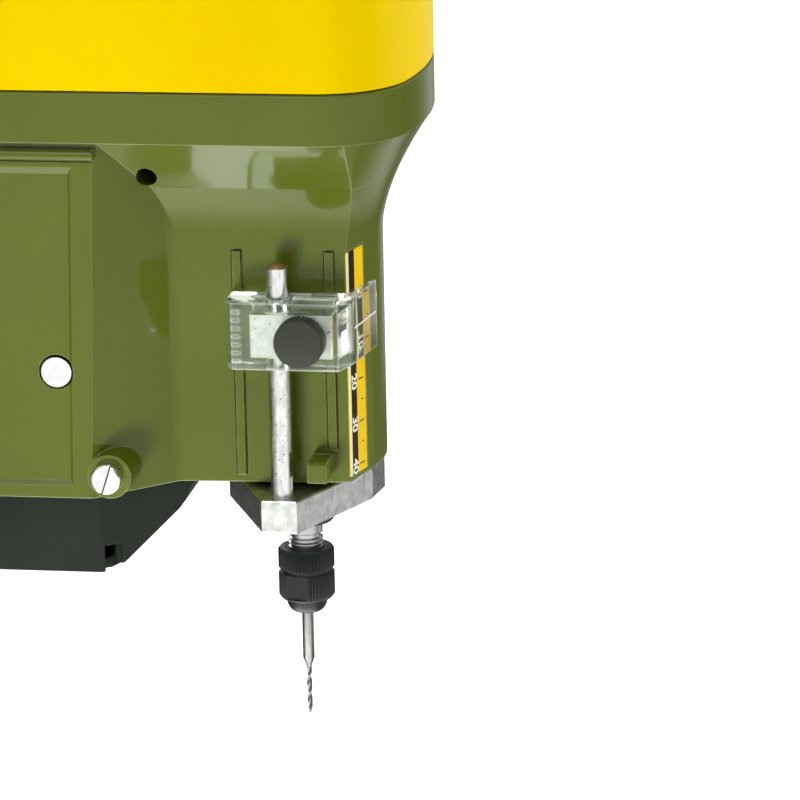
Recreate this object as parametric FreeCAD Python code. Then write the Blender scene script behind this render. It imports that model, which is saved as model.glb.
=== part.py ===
import FreeCAD, Part
import math
import os

# Mini drill press, millimetres. X points to the machine's right, Y to its back, Z up.
# The origin is under the middle of the base, on the bench.
V = FreeCAD.Vector

# Main layout
BASE_WIDTH = 120.0
BASE_LENGTH = 220.0
TABLE_TOP = 22.0
TABLE_HOLE_R = 6.5
THROAT = 140.0
COLUMN_Y = 82.0
SPINDLE_Y = COLUMN_Y - THROAT
SEAM_Z = 293.0
HEAD_HEIGHT = 95.0
HEAD_BOTTOM = SEAM_Z - HEAD_HEIGHT
STOP_TRAVEL = 22.7
HEAD_TRAVEL = 85.0

# Holes through the base
BENCH_HOLE_R = 3.3
BENCH_HOLE_X = 50.0
BENCH_HOLE_Y = 98.0
COUNTERBORE_R = 5.5
COUNTERBORE_DEPTH = 6.0
VICE_HOLE_R = 2.5
VICE_HOLE_X = 35.0
VICE_HOLE_REACH = 30.0
SET_SCREW_Z = 36.0

# Head casting, seen from above
BAND_HALF = 36.0
BAND_HEIGHT = 11.7
BAND_FRONT = 31.3
BAND_CORNER_U = 10.0
BAND_CORNER_R = 19.7
WALL_HALF = 35.0
NOSE_HALF = 21.0
NOSE_FRONT = 19.35
SIDE_END = 14.9
FACET_END = (18.3, 8.7)
WAIST_FRONT = -25.3
WAIST_REAR_TOP = -40.0
WAIST_REAR_LOW = -42.8
WAIST_ROUND = 4.0
BAND_REAR_Y = 64.0
WALL_REAR_Y = 62.0
BEAD_DROP = 14.6
BEAD_R = 1.2

# Shoulder and cove between the band and the nose, heights below the seam
SHOULDER_HALF = 34.4
SHOULDER_SLOPE = 0.8
SHOULDER_LOW = 24.0
SHOULDER_END = 17.2
COVE_SIDE_LOW = 35.0
COVE_LOW = 38.5
COVE_FLARE = 11.65

# Deck and belt cover
RIM = 3.0
DECK_Z = SEAM_Z - RIM
DECK_THICKNESS = 5.0
COVER_TOP = SEAM_Z + 45.0
COVER_WALL = 2.5
COVER_GAP = 0.4

# Column, its rack and the height crank
COLUMN_R = 10.0
COLUMN_TOP = 300.0
COLUMN_FOOT = 8.0
SOCKET_TOP = 48.0
FIT = 0.05
RACK_HALF = 3.0
RACK_TOP_Y = COLUMN_Y - COLUMN_R + 0.6
PINION_TEETH = 14
CRANK_Z = SEAM_Z - 71.0
CRANK_REACH = 40.0

# Gear teeth, shared by both racks
MODULE = 1.0
PRESSURE = math.radians(20.0)
BACKLASH = 0.12
ROOT_DEPTH = 1.2
CRANK_ADDENDUM = 0.8
FEED_ADDENDUM = 0.9
PINION_R = MODULE * PINION_TEETH / 2
CRANK_Y = RACK_TOP_Y + CRANK_ADDENDUM - PINION_R
RACK_LOW = CRANK_Z - HEAD_TRAVEL - 29.0
RACK_HIGH = SEAM_Z - 1.0
CLAMP_Z = HEAD_BOTTOM + 38.0
CLAMP_Y = 104.0

# Quill and feed
QUILL_R = 10.0
QUILL_NECK_R = 6.7
QUILL_TOP = SEAM_Z - 29.0
QUILL_LOW = SEAM_Z - 109.2
FEED_Y = SPINDLE_Y + 50.3
FEED_Z = SEAM_Z - 65.4
QUILL_FLAT = QUILL_R - 0.7
FEED_R = FEED_Y - SPINDLE_Y - QUILL_FLAT + FEED_ADDENDUM
FEED_SHAFT_R = 3.5
LEVER_LENGTH = 105.0
LEVER_RISE = math.radians(60.0)
LEVER_SPLAY = math.radians(8.0)

# Spindle nose, collet nut and drill, heights below the seam
SPINDLE_R = 3.0
NECK_R = 3.45
THREAD_R = 4.1
NUT_R = 6.6
NUT_TOP = SEAM_Z - 115.6
NUT_LOW = SEAM_Z - 132.1
SHANK_R = 1.25
DRILL_R = 0.6
SHANK_END = SEAM_Z - 143.2
TIP_Z = SEAM_Z - 157.0

# Depth stop on the left side
ROD_R = 2.6
ROD_OUT = 27.5
ROD_TOP = SEAM_Z - 40.4
PLATE_TOP = HEAD_BOTTOM - 0.3
PLATE_LOW = SEAM_Z - 103.0
SLIDER_TOP = SEAM_Z - 48.6
SLIDER_LOW = SEAM_Z - 64.4
SLIDER_BACK = 22.1
SLIDER_FACE = 33.0
LUG_TOP = SLIDER_LOW - STOP_TRAVEL
LUG_FACE = -29.0
SCALE_WIDTH = 9.0
SCALE_POCKET = 0.3
SCALE_LOW = SEAM_Z - 92.4
SCALE_HIGH = SEAM_Z - 39.6
KNOB_FORWARD = 6.5
KNOB_Z = SEAM_Z - 56.6
KNOB_R = 5.55

# Motor and belt drive
MOTOR_Y = SPINDLE_Y + 88.0
MOTOR_R = 26.0
MOTOR_LOW = SEAM_Z - 92.0
PULLEY_LOW = DECK_Z + 2.5
STEP_HEIGHT = 9.0
SPINDLE_STEPS = (21.7, 15.0, 10.7)
MOTOR_STEPS = (8.3, 15.0, 19.3)
BELT_R = 1.75
BELT_STEP = 1

# Black fan cover under the head
PAN_HALF = 30.0
PAN_LOW = SEAM_Z - 114.2
PAN_FRONT_Y = SPINDLE_Y + 42.4
PAN_REAR_Y = 60.0
PAN_WALL = 2.2
BEAK_HALF = 14.6
BEAK_TIP_Y = SPINDLE_Y + 22.2

# Screws, cover post, switch and cable gland
COVER_SCREWS = [(x, y) for x in (-25.0, 25.0) for y in (-10.5, 53.5)]
MOTOR_SCREWS = [(14.5 * sx, MOTOR_Y + 14.5 * sy) for sx in (-1, 1) for sy in (-1, 1)]
POST_Y = SPINDLE_Y + 44.0
POST_TOP = COVER_TOP - 6.0
SIDE_BOSS_Y = SPINDLE_Y + 37.9
SIDE_BOSS_R = 5.1
SIDE_SCREW_Y = SPINDLE_Y + 38.3
SIDE_SCREW_Z = SEAM_Z - 88.7
SIDE_HOLE_Y = SPINDLE_Y + 29.4
SIDE_HOLE_Z = SEAM_Z - 21.2
SWITCH_Y = 6.0
SWITCH_Z = SEAM_Z - 31.0
ROCKER_PIVOT_X = 34.5
GLAND_X = -26.0
GLAND_Z = HEAD_BOTTOM + 17.0


def forward(u):
    # Y of a point u in front of the spindle axis
    return SPINDLE_Y - u


def left(u, d, z):
    # A point u in front of the spindle axis and d out to the machine's left
    return V(-d, forward(u), z)


def box(x0, x1, y0, y1, z0, z1):
    return Part.makeBox(x1 - x0, y1 - y0, z1 - z0, V(x0, y0, z0))


def bar(radius, start, end):
    axis = end - start
    return Part.makeCylinder(radius, axis.Length, start, axis)


def upright(radius, y, z0, z1, x=0.0):
    return bar(radius, V(x, y, z0), V(x, y, z1))


def across(radius, y, z, x0, x1):
    return bar(radius, V(x0, y, z), V(x1, y, z))


def face_of(points):
    return Part.Face(Part.makePolygon(points + [points[0]]))


def slab(points, z0, z1):
    return face_of([V(x, y, z0) for x, y in points]).extrude(V(0, 0, z1 - z0))


def side_slab(points, x0, x1):
    # A profile of (y, z) points carried from x0 to x1
    return face_of([V(x0, y, z) for y, z in points]).extrude(V(x1 - x0, 0, 0))


def turned(profile, foot, axis=V(0, 0, 1)):
    # A profile of (radius, height) points turned about an axis through foot
    solid = face_of([V(r, 0, h) for r, h in profile]).revolve(V(0, 0, 0), V(0, 0, 1), 360)
    solid.Placement = FreeCAD.Placement(foot, FreeCAD.Rotation(V(0, 0, 1), axis))
    return solid


def joined(shapes):
    return shapes[0].fuse(list(shapes[1:])).removeSplitter()


def less(shape, cuts):
    return shape.cut(list(cuts)).removeSplitter()


def edges_where(shape, test):
    return [e for e in shape.Edges if test(e)]


def is_upright(edge):
    ends = [v.Point for v in edge.Vertexes]
    return len(ends) == 2 and (ends[0] - ends[1]).Length > 1 and \
        abs(ends[0].x - ends[1].x) < 0.01 and abs(ends[0].y - ends[1].y) < 0.01


def at_height(edge, z):
    return all(abs(v.Z - z) < 0.01 for v in edge.Vertexes)


def save(name, *solids):
    shape = solids[0] if len(solids) == 1 else Part.makeCompound(list(solids))
    count = len(shape.Solids)
    if count < 1 or not shape.isValid():
        raise ValueError(name + " has no valid solid")
    if len(solids) == 1:
        shape = shape.Solids[0]
        if count > 1:
            raise ValueError(name + " fell into %d solids" % count)
    shape.exportStep("parts/" + name + ".step")
    print("%-22s solids %d  volume %.1f" % (name, count, shape.Volume))
    return shape


def half_tooth(radius, pitch_r):
    # Half the angle that an involute tooth takes at a radius
    base_r = pitch_r * math.cos(PRESSURE)
    at_pitch = (math.pi * MODULE / 2 - BACKLASH) / (2 * pitch_r)
    reach = math.acos(min(1.0, base_r / radius))
    return at_pitch + math.tan(PRESSURE) - PRESSURE - (math.tan(reach) - reach)


def tooth_outline(pitch_r, addendum, middle):
    # (radius, angle) points up one flank and down the other
    root = pitch_r - ROOT_DEPTH
    tip = pitch_r + addendum
    lowest = max(root, pitch_r * math.cos(PRESSURE))
    radii = [lowest + (tip - lowest) * k / 4 for k in range(5)]
    flank = [(root, half_tooth(lowest, pitch_r))]
    flank += [(r, half_tooth(r, pitch_r)) for r in radii]
    rise = [(r, middle - half) for r, half in flank]
    fall = [(r, middle + half) for r, half in reversed(flank)]
    return rise + fall


def rack_gap(y_pitch, z, toward, addendum, half_width):
    # One gap between rack teeth; toward is +1 where the teeth point to +Y
    half = (math.pi * MODULE / 2 + BACKLASH) / 2
    top = addendum + 0.5
    slope = math.tan(PRESSURE)
    points = [(y_pitch + toward * top, z - half - top * slope),
              (y_pitch + toward * top, z + half + top * slope),
              (y_pitch - toward * ROOT_DEPTH, z + half - ROOT_DEPTH * slope),
              (y_pitch - toward * ROOT_DEPTH, z - half + ROOT_DEPTH * slope)]
    return side_slab(points, -half_width, half_width)


def head_outline(z, corner_from, corner_to, bulge, front, rear_y, flat=0.0):
    # The head from above: straight sides, a rounded or flat corner and a bowed front.
    # flat is the width of a narrow flat between the side and its corner.
    def point(u, d):
        return V(d, forward(u), z)

    side = corner_from[1]
    corner_start = (corner_from[0] + flat, side - 0.45 * flat)

    def half(sign):
        rear = V(sign * side, rear_y, z)
        side_end = point(corner_from[0], sign * side)
        a = point(corner_start[0], sign * corner_start[1])
        b = point(corner_to[0], sign * corner_to[1])
        edges = [Part.LineSegment(rear, side_end)]
        if flat > 0:
            edges.append(Part.LineSegment(side_end, a))
        if bulge == 0:
            edges.append(Part.LineSegment(a, b))
        else:
            chord = b - a
            out = V(sign * abs(chord.y), -abs(chord.x), 0).normalize() * bulge
            edges.append(Part.Arc(a, (a + b) * 0.5 + out, b))
        return edges

    left_end = point(corner_to[0], -corner_to[1])
    right_end = point(corner_to[0], corner_to[1])
    nose = Part.Arc(left_end, point(front, 0), right_end)
    back = Part.LineSegment(V(side, rear_y, z), V(-side, rear_y, z))
    edges = half(-1) + [nose] + half(1) + [back]
    return Part.Wire(Part.__sortEdges__([e.toShape() for e in edges]))


def band_outline(z, inset=0.0):
    # The outline where the belt cover meets the head: the straight sides run smoothly into round
    # corners and a bowed front, and inset draws it in by the same width all round.
    ahead = BAND_FRONT - BAND_CORNER_U
    out = BAND_HALF - BAND_CORNER_R
    bow_r = (ahead ** 2 + out ** 2 - BAND_CORNER_R ** 2) / (2 * (ahead - BAND_CORNER_R))
    turn = math.atan2(out, bow_r - ahead)

    def on_bow(angle):
        reach = bow_r - inset
        return V(reach * math.sin(angle), forward(BAND_FRONT - bow_r + reach * math.cos(angle)), z)

    def on_corner(sign, angle):
        reach = BAND_CORNER_R - inset
        return V(sign * (out + reach * math.sin(angle)), forward(BAND_CORNER_U + reach * math.cos(angle)), z)

    edges = [Part.Arc(on_bow(-turn), on_bow(0.0), on_bow(turn))]
    rear = [V(sign * (BAND_HALF - inset), BAND_REAR_Y - inset, z) for sign in (-1, 1)]
    for sign, corner in zip((-1, 1), rear):
        side_end = on_corner(sign, math.pi / 2)
        middle = on_corner(sign, (math.pi / 2 + turn) / 2)
        edges += [Part.LineSegment(corner, side_end), Part.Arc(side_end, middle, on_bow(sign * turn))]
    edges.append(Part.LineSegment(rear[0], rear[1]))
    return Part.Wire(Part.__sortEdges__([e.toShape() for e in edges]))


def ruled_loft(wires):
    return Part.makeLoft(wires, True, True)


def smooth_loft(wires):
    return Part.makeLoft(wires, True, False)


def band_block(z0, z1, inset=0.0, rear_round=8.0):
    solid = Part.Face(band_outline(z0, inset)).extrude(V(0, 0, z1 - z0))
    rear = edges_where(solid, lambda e: is_upright(e) and e.Vertexes[0].Y > BAND_REAR_Y - inset - 0.1)
    return solid.makeFillet(rear_round - min(inset, 4.0), rear)


def side_at(h):
    # Half width of the head h below the seam: a sloping shoulder, then a cove down to the nose
    if h <= SHOULDER_LOW:
        return SHOULDER_HALF - SHOULDER_SLOPE * (h - BAND_HEIGHT)
    if h >= COVE_SIDE_LOW:
        return NOSE_HALF
    reach = side_at(SHOULDER_LOW) - NOSE_HALF
    return NOSE_HALF + reach * ((COVE_SIDE_LOW - h) / (COVE_SIDE_LOW - SHOULDER_LOW)) ** 1.7


def flared_outline(h, flat=0.0):
    # The outline h below the seam, flared towards the band
    ease = ((COVE_LOW - h) / (COVE_LOW - BAND_HEIGHT)) ** 1.6
    below = max(0.0, h - SHOULDER_LOW) / (COVE_LOW - SHOULDER_LOW)
    side_end = SHOULDER_END - (SHOULDER_END - SIDE_END) * below
    corner = (FACET_END[0] + 8.7 * ease, FACET_END[1] + 16.3 * ease)
    return head_outline(SEAM_Z - h, (side_end, side_at(h)), corner, 0.02 + 0.73 * ease,
                        NOSE_FRONT + 0.2 + COVE_FLARE * ease, forward(-45.0), flat)


def nose_body():
    # The narrow front of the head, swept out under the belt cover
    step = (SHOULDER_LOW - BAND_HEIGHT) / 4
    shoulder = smooth_loft([flared_outline(BAND_HEIGHT + step * k, 2.3 - 0.5 * k) for k in range(5)])
    step = (COVE_LOW - SHOULDER_LOW) / 5
    cove = smooth_loft([flared_outline(SHOULDER_LOW + step * k) for k in range(6)])
    low_rear = forward(-45.0)
    corner = (SIDE_END, NOSE_HALF)
    nose = ruled_loft([head_outline(SEAM_Z - COVE_LOW, corner, FACET_END, 0, NOSE_FRONT + 0.2, low_rear),
                       head_outline(HEAD_BOTTOM, corner, FACET_END, 0, NOSE_FRONT, low_rear)])
    return [shoulder, cove, nose]


def waist_outline(z, rear_u):
    # The wide rear of the head from above, its slanted waist running into the nose in a hollow round
    half = NOSE_HALF - 0.01
    way = V(WALL_HALF - half, WAIST_FRONT - rear_u, 0)
    slant = math.atan2(way.x, way.y)
    reach = WAIST_ROUND * math.tan(slant / 2)
    way.normalize()
    centre = V(half + WAIST_ROUND, forward(WAIST_FRONT + reach), z)
    inner = V(half, forward(WAIST_FRONT), z)
    middle = centre + (inner - centre).normalize() * WAIST_ROUND
    edges = []
    for sign in (-1, 1):
        def side_point(x, y):
            return V(sign * x, y, z)

        start = side_point(half, forward(WAIST_FRONT + reach))
        end = side_point(half + way.x * reach, forward(WAIST_FRONT) + way.y * reach)
        corner = side_point(WALL_HALF, forward(rear_u))
        edges += [Part.Arc(start, side_point(middle.x, middle.y), end), Part.LineSegment(end, corner),
                  Part.LineSegment(corner, side_point(WALL_HALF, WALL_REAR_Y))]
    for x, y in ((half, forward(WAIST_FRONT + reach)), (WALL_HALF, WALL_REAR_Y)):
        edges.append(Part.LineSegment(V(-x, y, z), V(x, y, z)))
    return Part.Wire(Part.__sortEdges__([e.toShape() for e in edges]))


def motor_body():
    # The wide rear of the head, narrowed to the nose by a slanted waist
    solid = ruled_loft([waist_outline(HEAD_BOTTOM, WAIST_REAR_LOW),
                        waist_outline(SEAM_Z - BAND_HEIGHT, WAIST_REAR_TOP)])
    rear = edges_where(solid, lambda e: is_upright(e) and e.Vertexes[0].Y > WALL_REAR_Y - 1)
    return solid.makeFillet(9.0, rear)


def side_details():
    # Ribs, stop lug, bead and screw boss that stand out of the left side
    ribs = [box(-NOSE_HALF - 0.8, -NOSE_HALF + 1, *rib) for rib in side_ribs()]
    lug = box(LUG_FACE, -NOSE_HALF + 1, forward(10.6), forward(6.1), SEAM_Z - 91.8, LUG_TOP)
    lug = lug.makeChamfer(0.7, edges_where(lug, lambda e: at_height(e, LUG_TOP) and
                                           all(v.X < LUG_FACE + 0.01 for v in e.Vertexes)))
    rear = V(-WALL_HALF, 50.0, SEAM_Z - BEAD_DROP)
    length = rear.y - forward(-40.5)
    bead = turned([(0, 0), (BEAD_R, 0), (BEAD_R, length), (BEAD_R * 0.9, length + 0.5),
                   (BEAD_R * 0.6, length + 0.95), (0, length + BEAD_R)], rear, V(0, -1, 0))
    boss = across(SIDE_BOSS_R, SIDE_BOSS_Y, SIDE_SCREW_Z, -38.5, -20.0)
    return ribs + [lug, bead, boss]


def side_ribs():
    # Front and back Y, low and high Z of the two guide ribs
    return [(forward(-9.45), forward(-11.35), SEAM_Z - 92.3, SEAM_Z - 39.4),
            (forward(11.9), forward(10.0), SEAM_Z - 86.0, SEAM_Z - 39.4)]


def scale_plate(start, end, depth, z0, z1):
    # A slab on the flat corner of the nose, from depth inside its face out to 1 mm in front of it
    a = left(SIDE_END, NOSE_HALF, z0)
    b = left(FACET_END[0], FACET_END[1], z0)
    along = (b - a).normalize()
    out = V(along.y, -along.x, 0)
    corners = [a + along * way + out * height for way, height in
               ((start, -depth), (end, -depth), (end, 1.0), (start, 1.0))]
    return face_of(corners).extrude(V(0, 0, z1 - z0))


def side_sinks():
    # What is sunk into the left side: lines round the ribs, along the bead and a recessed panel
    sinks = [scale_plate(-1.0, SCALE_WIDTH + 0.4, SCALE_POCKET, SCALE_LOW - 0.3, SCALE_HIGH + 0.4)]
    for y0, y1, z0, z1 in side_ribs():
        rim = box(-NOSE_HALF - 2, -NOSE_HALF + 0.5, y0 - 0.42, y1 + 0.42, z0, z1 + 0.42)
        sinks.append(rim.cut(box(-NOSE_HALF - 3, -NOSE_HALF + 1, y0, y1, z0 - 1, z1)))
    for depth, low, high in ((1.0, BEAD_DROP - BEAD_R - 0.1, BAND_HEIGHT),
                             (0.35, BEAD_DROP + BEAD_R + 0.4, BEAD_DROP + BEAD_R + 0.05)):
        sinks.append(box(-37.0, -WALL_HALF + depth, forward(-39.0), 50.0, SEAM_Z - low, SEAM_Z - high))
    panel = []
    for x, inset in ((-WALL_HALF - 0.2, -0.2), (-WALL_HALF + 1.0, 1.0)):
        top = SEAM_Z - 17.4 - inset * 1.75
        low = SEAM_Z - 92.0 + inset
        rear = 47.0 - inset
        corners = [(forward(-45.1 - inset), top), (rear, top), (rear, low), (forward(-47.1 - inset), low)]
        points = [V(x, y, z) for y, z in corners]
        panel.append(Part.makePolygon(points + [points[0]]))
    sinks.append(ruled_loft(panel))
    return sinks


def column_clamp():
    # Sleeve round the column with a split, clamping ears and a boss for the crank
    sleeve = upright(19.0, COLUMN_Y, HEAD_BOTTOM, SEAM_Z - 10.0)
    web = box(-17.0, 17.0, WALL_REAR_Y - 4.0, COLUMN_Y, HEAD_BOTTOM, SEAM_Z - 10.0)
    ears = box(-12.0, 12.0, COLUMN_Y + 12.0, 110.0, CLAMP_Z - 11.0, CLAMP_Z + 11.0)
    crank_boss = across(10.5, CRANK_Y, CRANK_Z, 10.0, 34.0)
    feed_boss = across(9.0, FEED_Y, FEED_Z, 30.0, 36.5)
    return [sleeve, web, ears, crank_boss, feed_boss]


def head_openings():
    # Everything that is bored or hollowed out of the casting
    cavity = box(-31.5, 31.5, -17.0, 58.5, HEAD_BOTTOM + 5.0, DECK_Z - DECK_THICKNESS)
    cavity = cavity.makeFillet(6.0, edges_where(cavity, is_upright))
    cuts = [cavity,
            upright(27.0, MOTOR_Y, HEAD_BOTTOM - 1, HEAD_BOTTOM + 6),
            box(-20.0, 20.0, -13.0, MOTOR_Y, HEAD_BOTTOM - 1, HEAD_BOTTOM + 6),
            upright(QUILL_R + 0.04, SPINDLE_Y, HEAD_BOTTOM - 1, QUILL_TOP + 4),
            upright(4.0, SPINDLE_Y, QUILL_TOP, DECK_Z),
            upright(9.5, SPINDLE_Y, DECK_Z - 9.5, DECK_Z + 1),
            box(-3.6, 3.6, SPINDLE_Y + 7.0, -16.0, HEAD_BOTTOM + 2.5, HEAD_BOTTOM + 60.0),
            upright(COLUMN_R + FIT, COLUMN_Y, HEAD_BOTTOM - 1, SEAM_Z + 1),
            box(-1.0, 1.0, COLUMN_Y + 5, 112.0, HEAD_BOTTOM - 1, SEAM_Z + 1),
            across(3.0 + FIT, CLAMP_Y, CLAMP_Z, -20.0, 20.0),
            across(PINION_R + 1.3, CRANK_Y, CRANK_Z, -3.4, 36.0),
            across(4.0 + FIT, CRANK_Y, CRANK_Z, -12.2, 0.0),
            across(4.1, FEED_Y, FEED_Z, -37.0, -30.0),
            across(6.0, FEED_Y, FEED_Z, -33.0, -30.0),
            across(6.0, FEED_Y, FEED_Z, 30.0, 37.0),
            across(2.35, SIDE_HOLE_Y, SIDE_HOLE_Z, -40.0, -14.0),
            across(2.0, SIDE_SCREW_Y, SIDE_SCREW_Z, -40.0, -28.0),
            across(3.6, SIDE_SCREW_Y, SIDE_SCREW_Z, -40.0, -37.8),
            box(30.0, 38.0, SWITCH_Y - 6.6, SWITCH_Y + 6.6, SWITCH_Z - 10.6, SWITCH_Z + 10.6),
            bar(4.5, V(GLAND_X, 55.0, GLAND_Z), V(GLAND_X, 64.0, GLAND_Z)),
            upright(4.0, MOTOR_Y, DECK_Z - 8, DECK_Z + 1)]
    cuts += [upright(2.0, y, DECK_Z - 6, DECK_Z + 1, x) for x, y in MOTOR_SCREWS]
    cuts += [upright(1.5, y, HEAD_BOTTOM - 1, HEAD_BOTTOM + 4.8, x) for x, y in COVER_SCREWS]
    return cuts + side_sinks() + [nose_undercut()]


def nose_undercut():
    # The underside of the nose rises towards the front
    line = [(-43.0, 95.0), (-23.0, 94.3), (12.0, 93.8), (20.5, 93.1)]
    points = [(forward(u), SEAM_Z - drop) for u, drop in line]
    points += [(points[-1][0], HEAD_BOTTOM - 1), (points[0][0], HEAD_BOTTOM - 1)]
    return side_slab(points, -36.0, 36.0)


def make_head_casting():
    tray = band_block(DECK_Z, SEAM_Z + 1, RIM)
    post = less(upright(6.0, POST_Y, DECK_Z - 1, POST_TOP),
                [upright(2.5 + FIT, POST_Y, POST_TOP - 20, POST_TOP + 1)])
    band = band_block(SEAM_Z - BAND_HEIGHT, SEAM_Z)
    band = band.makeChamfer(0.4, edges_where(band, lambda e: at_height(e, SEAM_Z)))
    body = joined([band, motor_body()] + nose_body() + side_details() + column_clamp())
    body = less(body, head_openings() + [tray])
    save("head_casting", joined([body, post]))


def make_base():
    plate = box(-BASE_WIDTH / 2, BASE_WIDTH / 2, -BASE_LENGTH / 2, BASE_LENGTH / 2, 0, TABLE_TOP)
    plate = plate.makeFillet(9.0, edges_where(plate, is_upright))
    plate = plate.makeChamfer(1.2, edges_where(plate, lambda e: at_height(e, TABLE_TOP)))
    rise = SOCKET_TOP - TABLE_TOP
    socket = turned([(0, 0), (27, 0), (23.5, 3.5), (22, 8), (21, rise - 1.5), (19.5, rise), (0, rise)],
                    V(0, COLUMN_Y, TABLE_TOP - 0.01))
    body = joined([plate, socket])
    cuts = []
    for y0, y1 in ((-84, -10), (10, 84)):
        relief = box(-44, 44, y0, y1, -1, 1.5)
        cuts.append(relief.makeFillet(8.0, edges_where(relief, is_upright)))
    cuts += [upright(COLUMN_R, COLUMN_Y, COLUMN_FOOT, SOCKET_TOP + 1),
             upright(TABLE_HOLE_R, SPINDLE_Y, -1, TABLE_TOP + 1)]
    corners = [(sx, sy) for sx in (-1, 1) for sy in (-1, 1)]
    for sx, sy in corners:
        x = sx * BENCH_HOLE_X
        y = sy * BENCH_HOLE_Y
        cuts.append(upright(BENCH_HOLE_R, y, -1, TABLE_TOP + 1, x))
        cuts.append(upright(COUNTERBORE_R, y, TABLE_TOP - COUNTERBORE_DEPTH, TABLE_TOP + 1, x))
    cuts += [upright(VICE_HOLE_R, SPINDLE_Y + sy * VICE_HOLE_REACH, -1, TABLE_TOP + 1, sx * VICE_HOLE_X)
             for sx, sy in corners]
    socket_middle = V(0, COLUMN_Y, SET_SCREW_Z)
    ways = [V(side, 2.0, 0).normalize() for side in (-1, 1)]
    cuts += [bar(2.5, socket_middle + way * 8, socket_middle + way * 32) for way in ways]
    save("base_table", less(body, cuts))
    grubs = []
    for way in ways:
        start = socket_middle + way * (COLUMN_R + 0.1)
        screw = bar(2.45, start, start + way * 8)
        grubs.append(screw.cut(bar(1.2, start + way * 5, start + way * 9)))
    save("column_set_screws", *grubs)


def make_column():
    length = COLUMN_TOP - COLUMN_FOOT
    column = turned([(0, 0), (COLUMN_R - 0.8, 0), (COLUMN_R, 0.8), (COLUMN_R, length - 0.8),
                     (COLUMN_R - 0.8, length), (0, length)], V(0, COLUMN_Y, COLUMN_FOOT))
    keyway = box(-RACK_HALF - 0.1, RACK_HALF + 0.1, COLUMN_Y - 11, RACK_TOP_Y + 4.0, RACK_LOW, RACK_HIGH)
    plug_hole = upright(4.0, COLUMN_Y, COLUMN_TOP - 6, COLUMN_TOP + 1)
    save("column", less(column, [keyway, plug_hole]))
    strip = box(-RACK_HALF, RACK_HALF, RACK_TOP_Y, RACK_TOP_Y + 3.9, RACK_LOW + 0.2, RACK_HIGH - 0.2)
    pitch_y = RACK_TOP_Y + CRANK_ADDENDUM
    gaps = [rack_gap(pitch_y, CRANK_Z + k * math.pi * MODULE, -1, CRANK_ADDENDUM, RACK_HALF + 1)
            for k in range(-35, 22)]
    save("column_rack", strip.cut(gaps))
    cap = [(0, -5), (3.9, -5), (3.9, 0), (COLUMN_R, 0), (COLUMN_R, 1.5), (8.6, 3), (0, 3)]
    save("column_cap", turned(cap, V(0, COLUMN_Y, COLUMN_TOP)))


def make_crank():
    outline = []
    for k in range(PINION_TEETH):
        outline += tooth_outline(PINION_R, CRANK_ADDENDUM, 2 * math.pi * k / PINION_TEETH)
    points = [(CRANK_Y + r * math.cos(a), CRANK_Z + r * math.sin(a)) for r, a in outline]
    pinion = side_slab(points, -RACK_HALF + 0.2, RACK_HALF - 0.2)
    shaft = joined([pinion, across(4.0, CRANK_Y, CRANK_Z, -12.0, 42.5)])
    save("crank_shaft", shaft)
    save("crank_bush", less(across(PINION_R + 1.3, CRANK_Y, CRANK_Z, 8.5, 34.0),
                            [across(4.0 + FIT, CRANK_Y, CRANK_Z, 8.0, 35.0),
                             upright(COLUMN_R + 0.3, COLUMN_Y, CRANK_Z - 12, CRANK_Z + 12)]))
    low = CRANK_Z - CRANK_REACH
    arm = joined([across(8.0, CRANK_Y, CRANK_Z, 35.0, 42.5), across(6.0, CRANK_Y, low, 37.5, 42.5),
                  side_slab([(CRANK_Y - 6.5, CRANK_Z), (CRANK_Y + 6.5, CRANK_Z), (CRANK_Y + 5, low),
                             (CRANK_Y - 5, low)], 37.5, 42.5)])
    save("crank_arm", less(arm, [across(4.0, CRANK_Y, CRANK_Z, 34.0, 44.0),
                                 across(2.5, CRANK_Y, low, 36.0, 44.0)]))
    pin = joined([across(2.5, CRANK_Y, low, 37.5, 69.5), across(4.2, CRANK_Y, low, 69.3, 71.5)])
    save("crank_pin", pin)
    grip = turned([(2.56, 0), (5.2, 0), (6.2, 1), (7.2, 9), (7.2, 16), (6.0, 24), (5.0, 25), (2.56, 25)],
                  V(43.6, CRANK_Y, low), V(1, 0, 0))
    save("crank_handle", grip)


def make_clamp():
    save("clamp_screw", joined([across(3.0, CLAMP_Y, CLAMP_Z, -14.0, 18.5),
                                turned([(0, 0), (5.5, 0), (5.5, 4), (4.8, 4.8), (0, 4.8)],
                                       V(-12.3, CLAMP_Y, CLAMP_Z), V(-1, 0, 0))]))
    hub = V(16.0, CLAMP_Y, CLAMP_Z)
    tip = hub + V(16.0, 6.0, -36.0)
    lever = joined([across(6.2, CLAMP_Y, CLAMP_Z, 12.3, 19.0), bar(2.6, hub + V(0, 0, -3), tip),
                    Part.makeSphere(5.2, tip)])
    save("clamp_lever", less(lever, [across(3.0, CLAMP_Y, CLAMP_Z, 11.0, 18.5)]))


def pulley(steps, y, bore, hub_low, hub_r):
    profile = [(bore, hub_low), (hub_r, hub_low), (hub_r, PULLEY_LOW)]
    z = PULLEY_LOW
    for pitch in steps:
        middle = z + STEP_HEIGHT / 2
        rim = pitch + 1.2
        floor = pitch - BELT_R - 0.35
        profile += [(rim, z), (rim, middle - 2.6), (floor, middle - 1.9), (floor, middle + 1.9),
                    (rim, middle + 2.6), (rim, z + STEP_HEIGHT)]
        z += STEP_HEIGHT
    profile += [(bore, z)]
    return turned(profile, V(0, y, 0))


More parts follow.
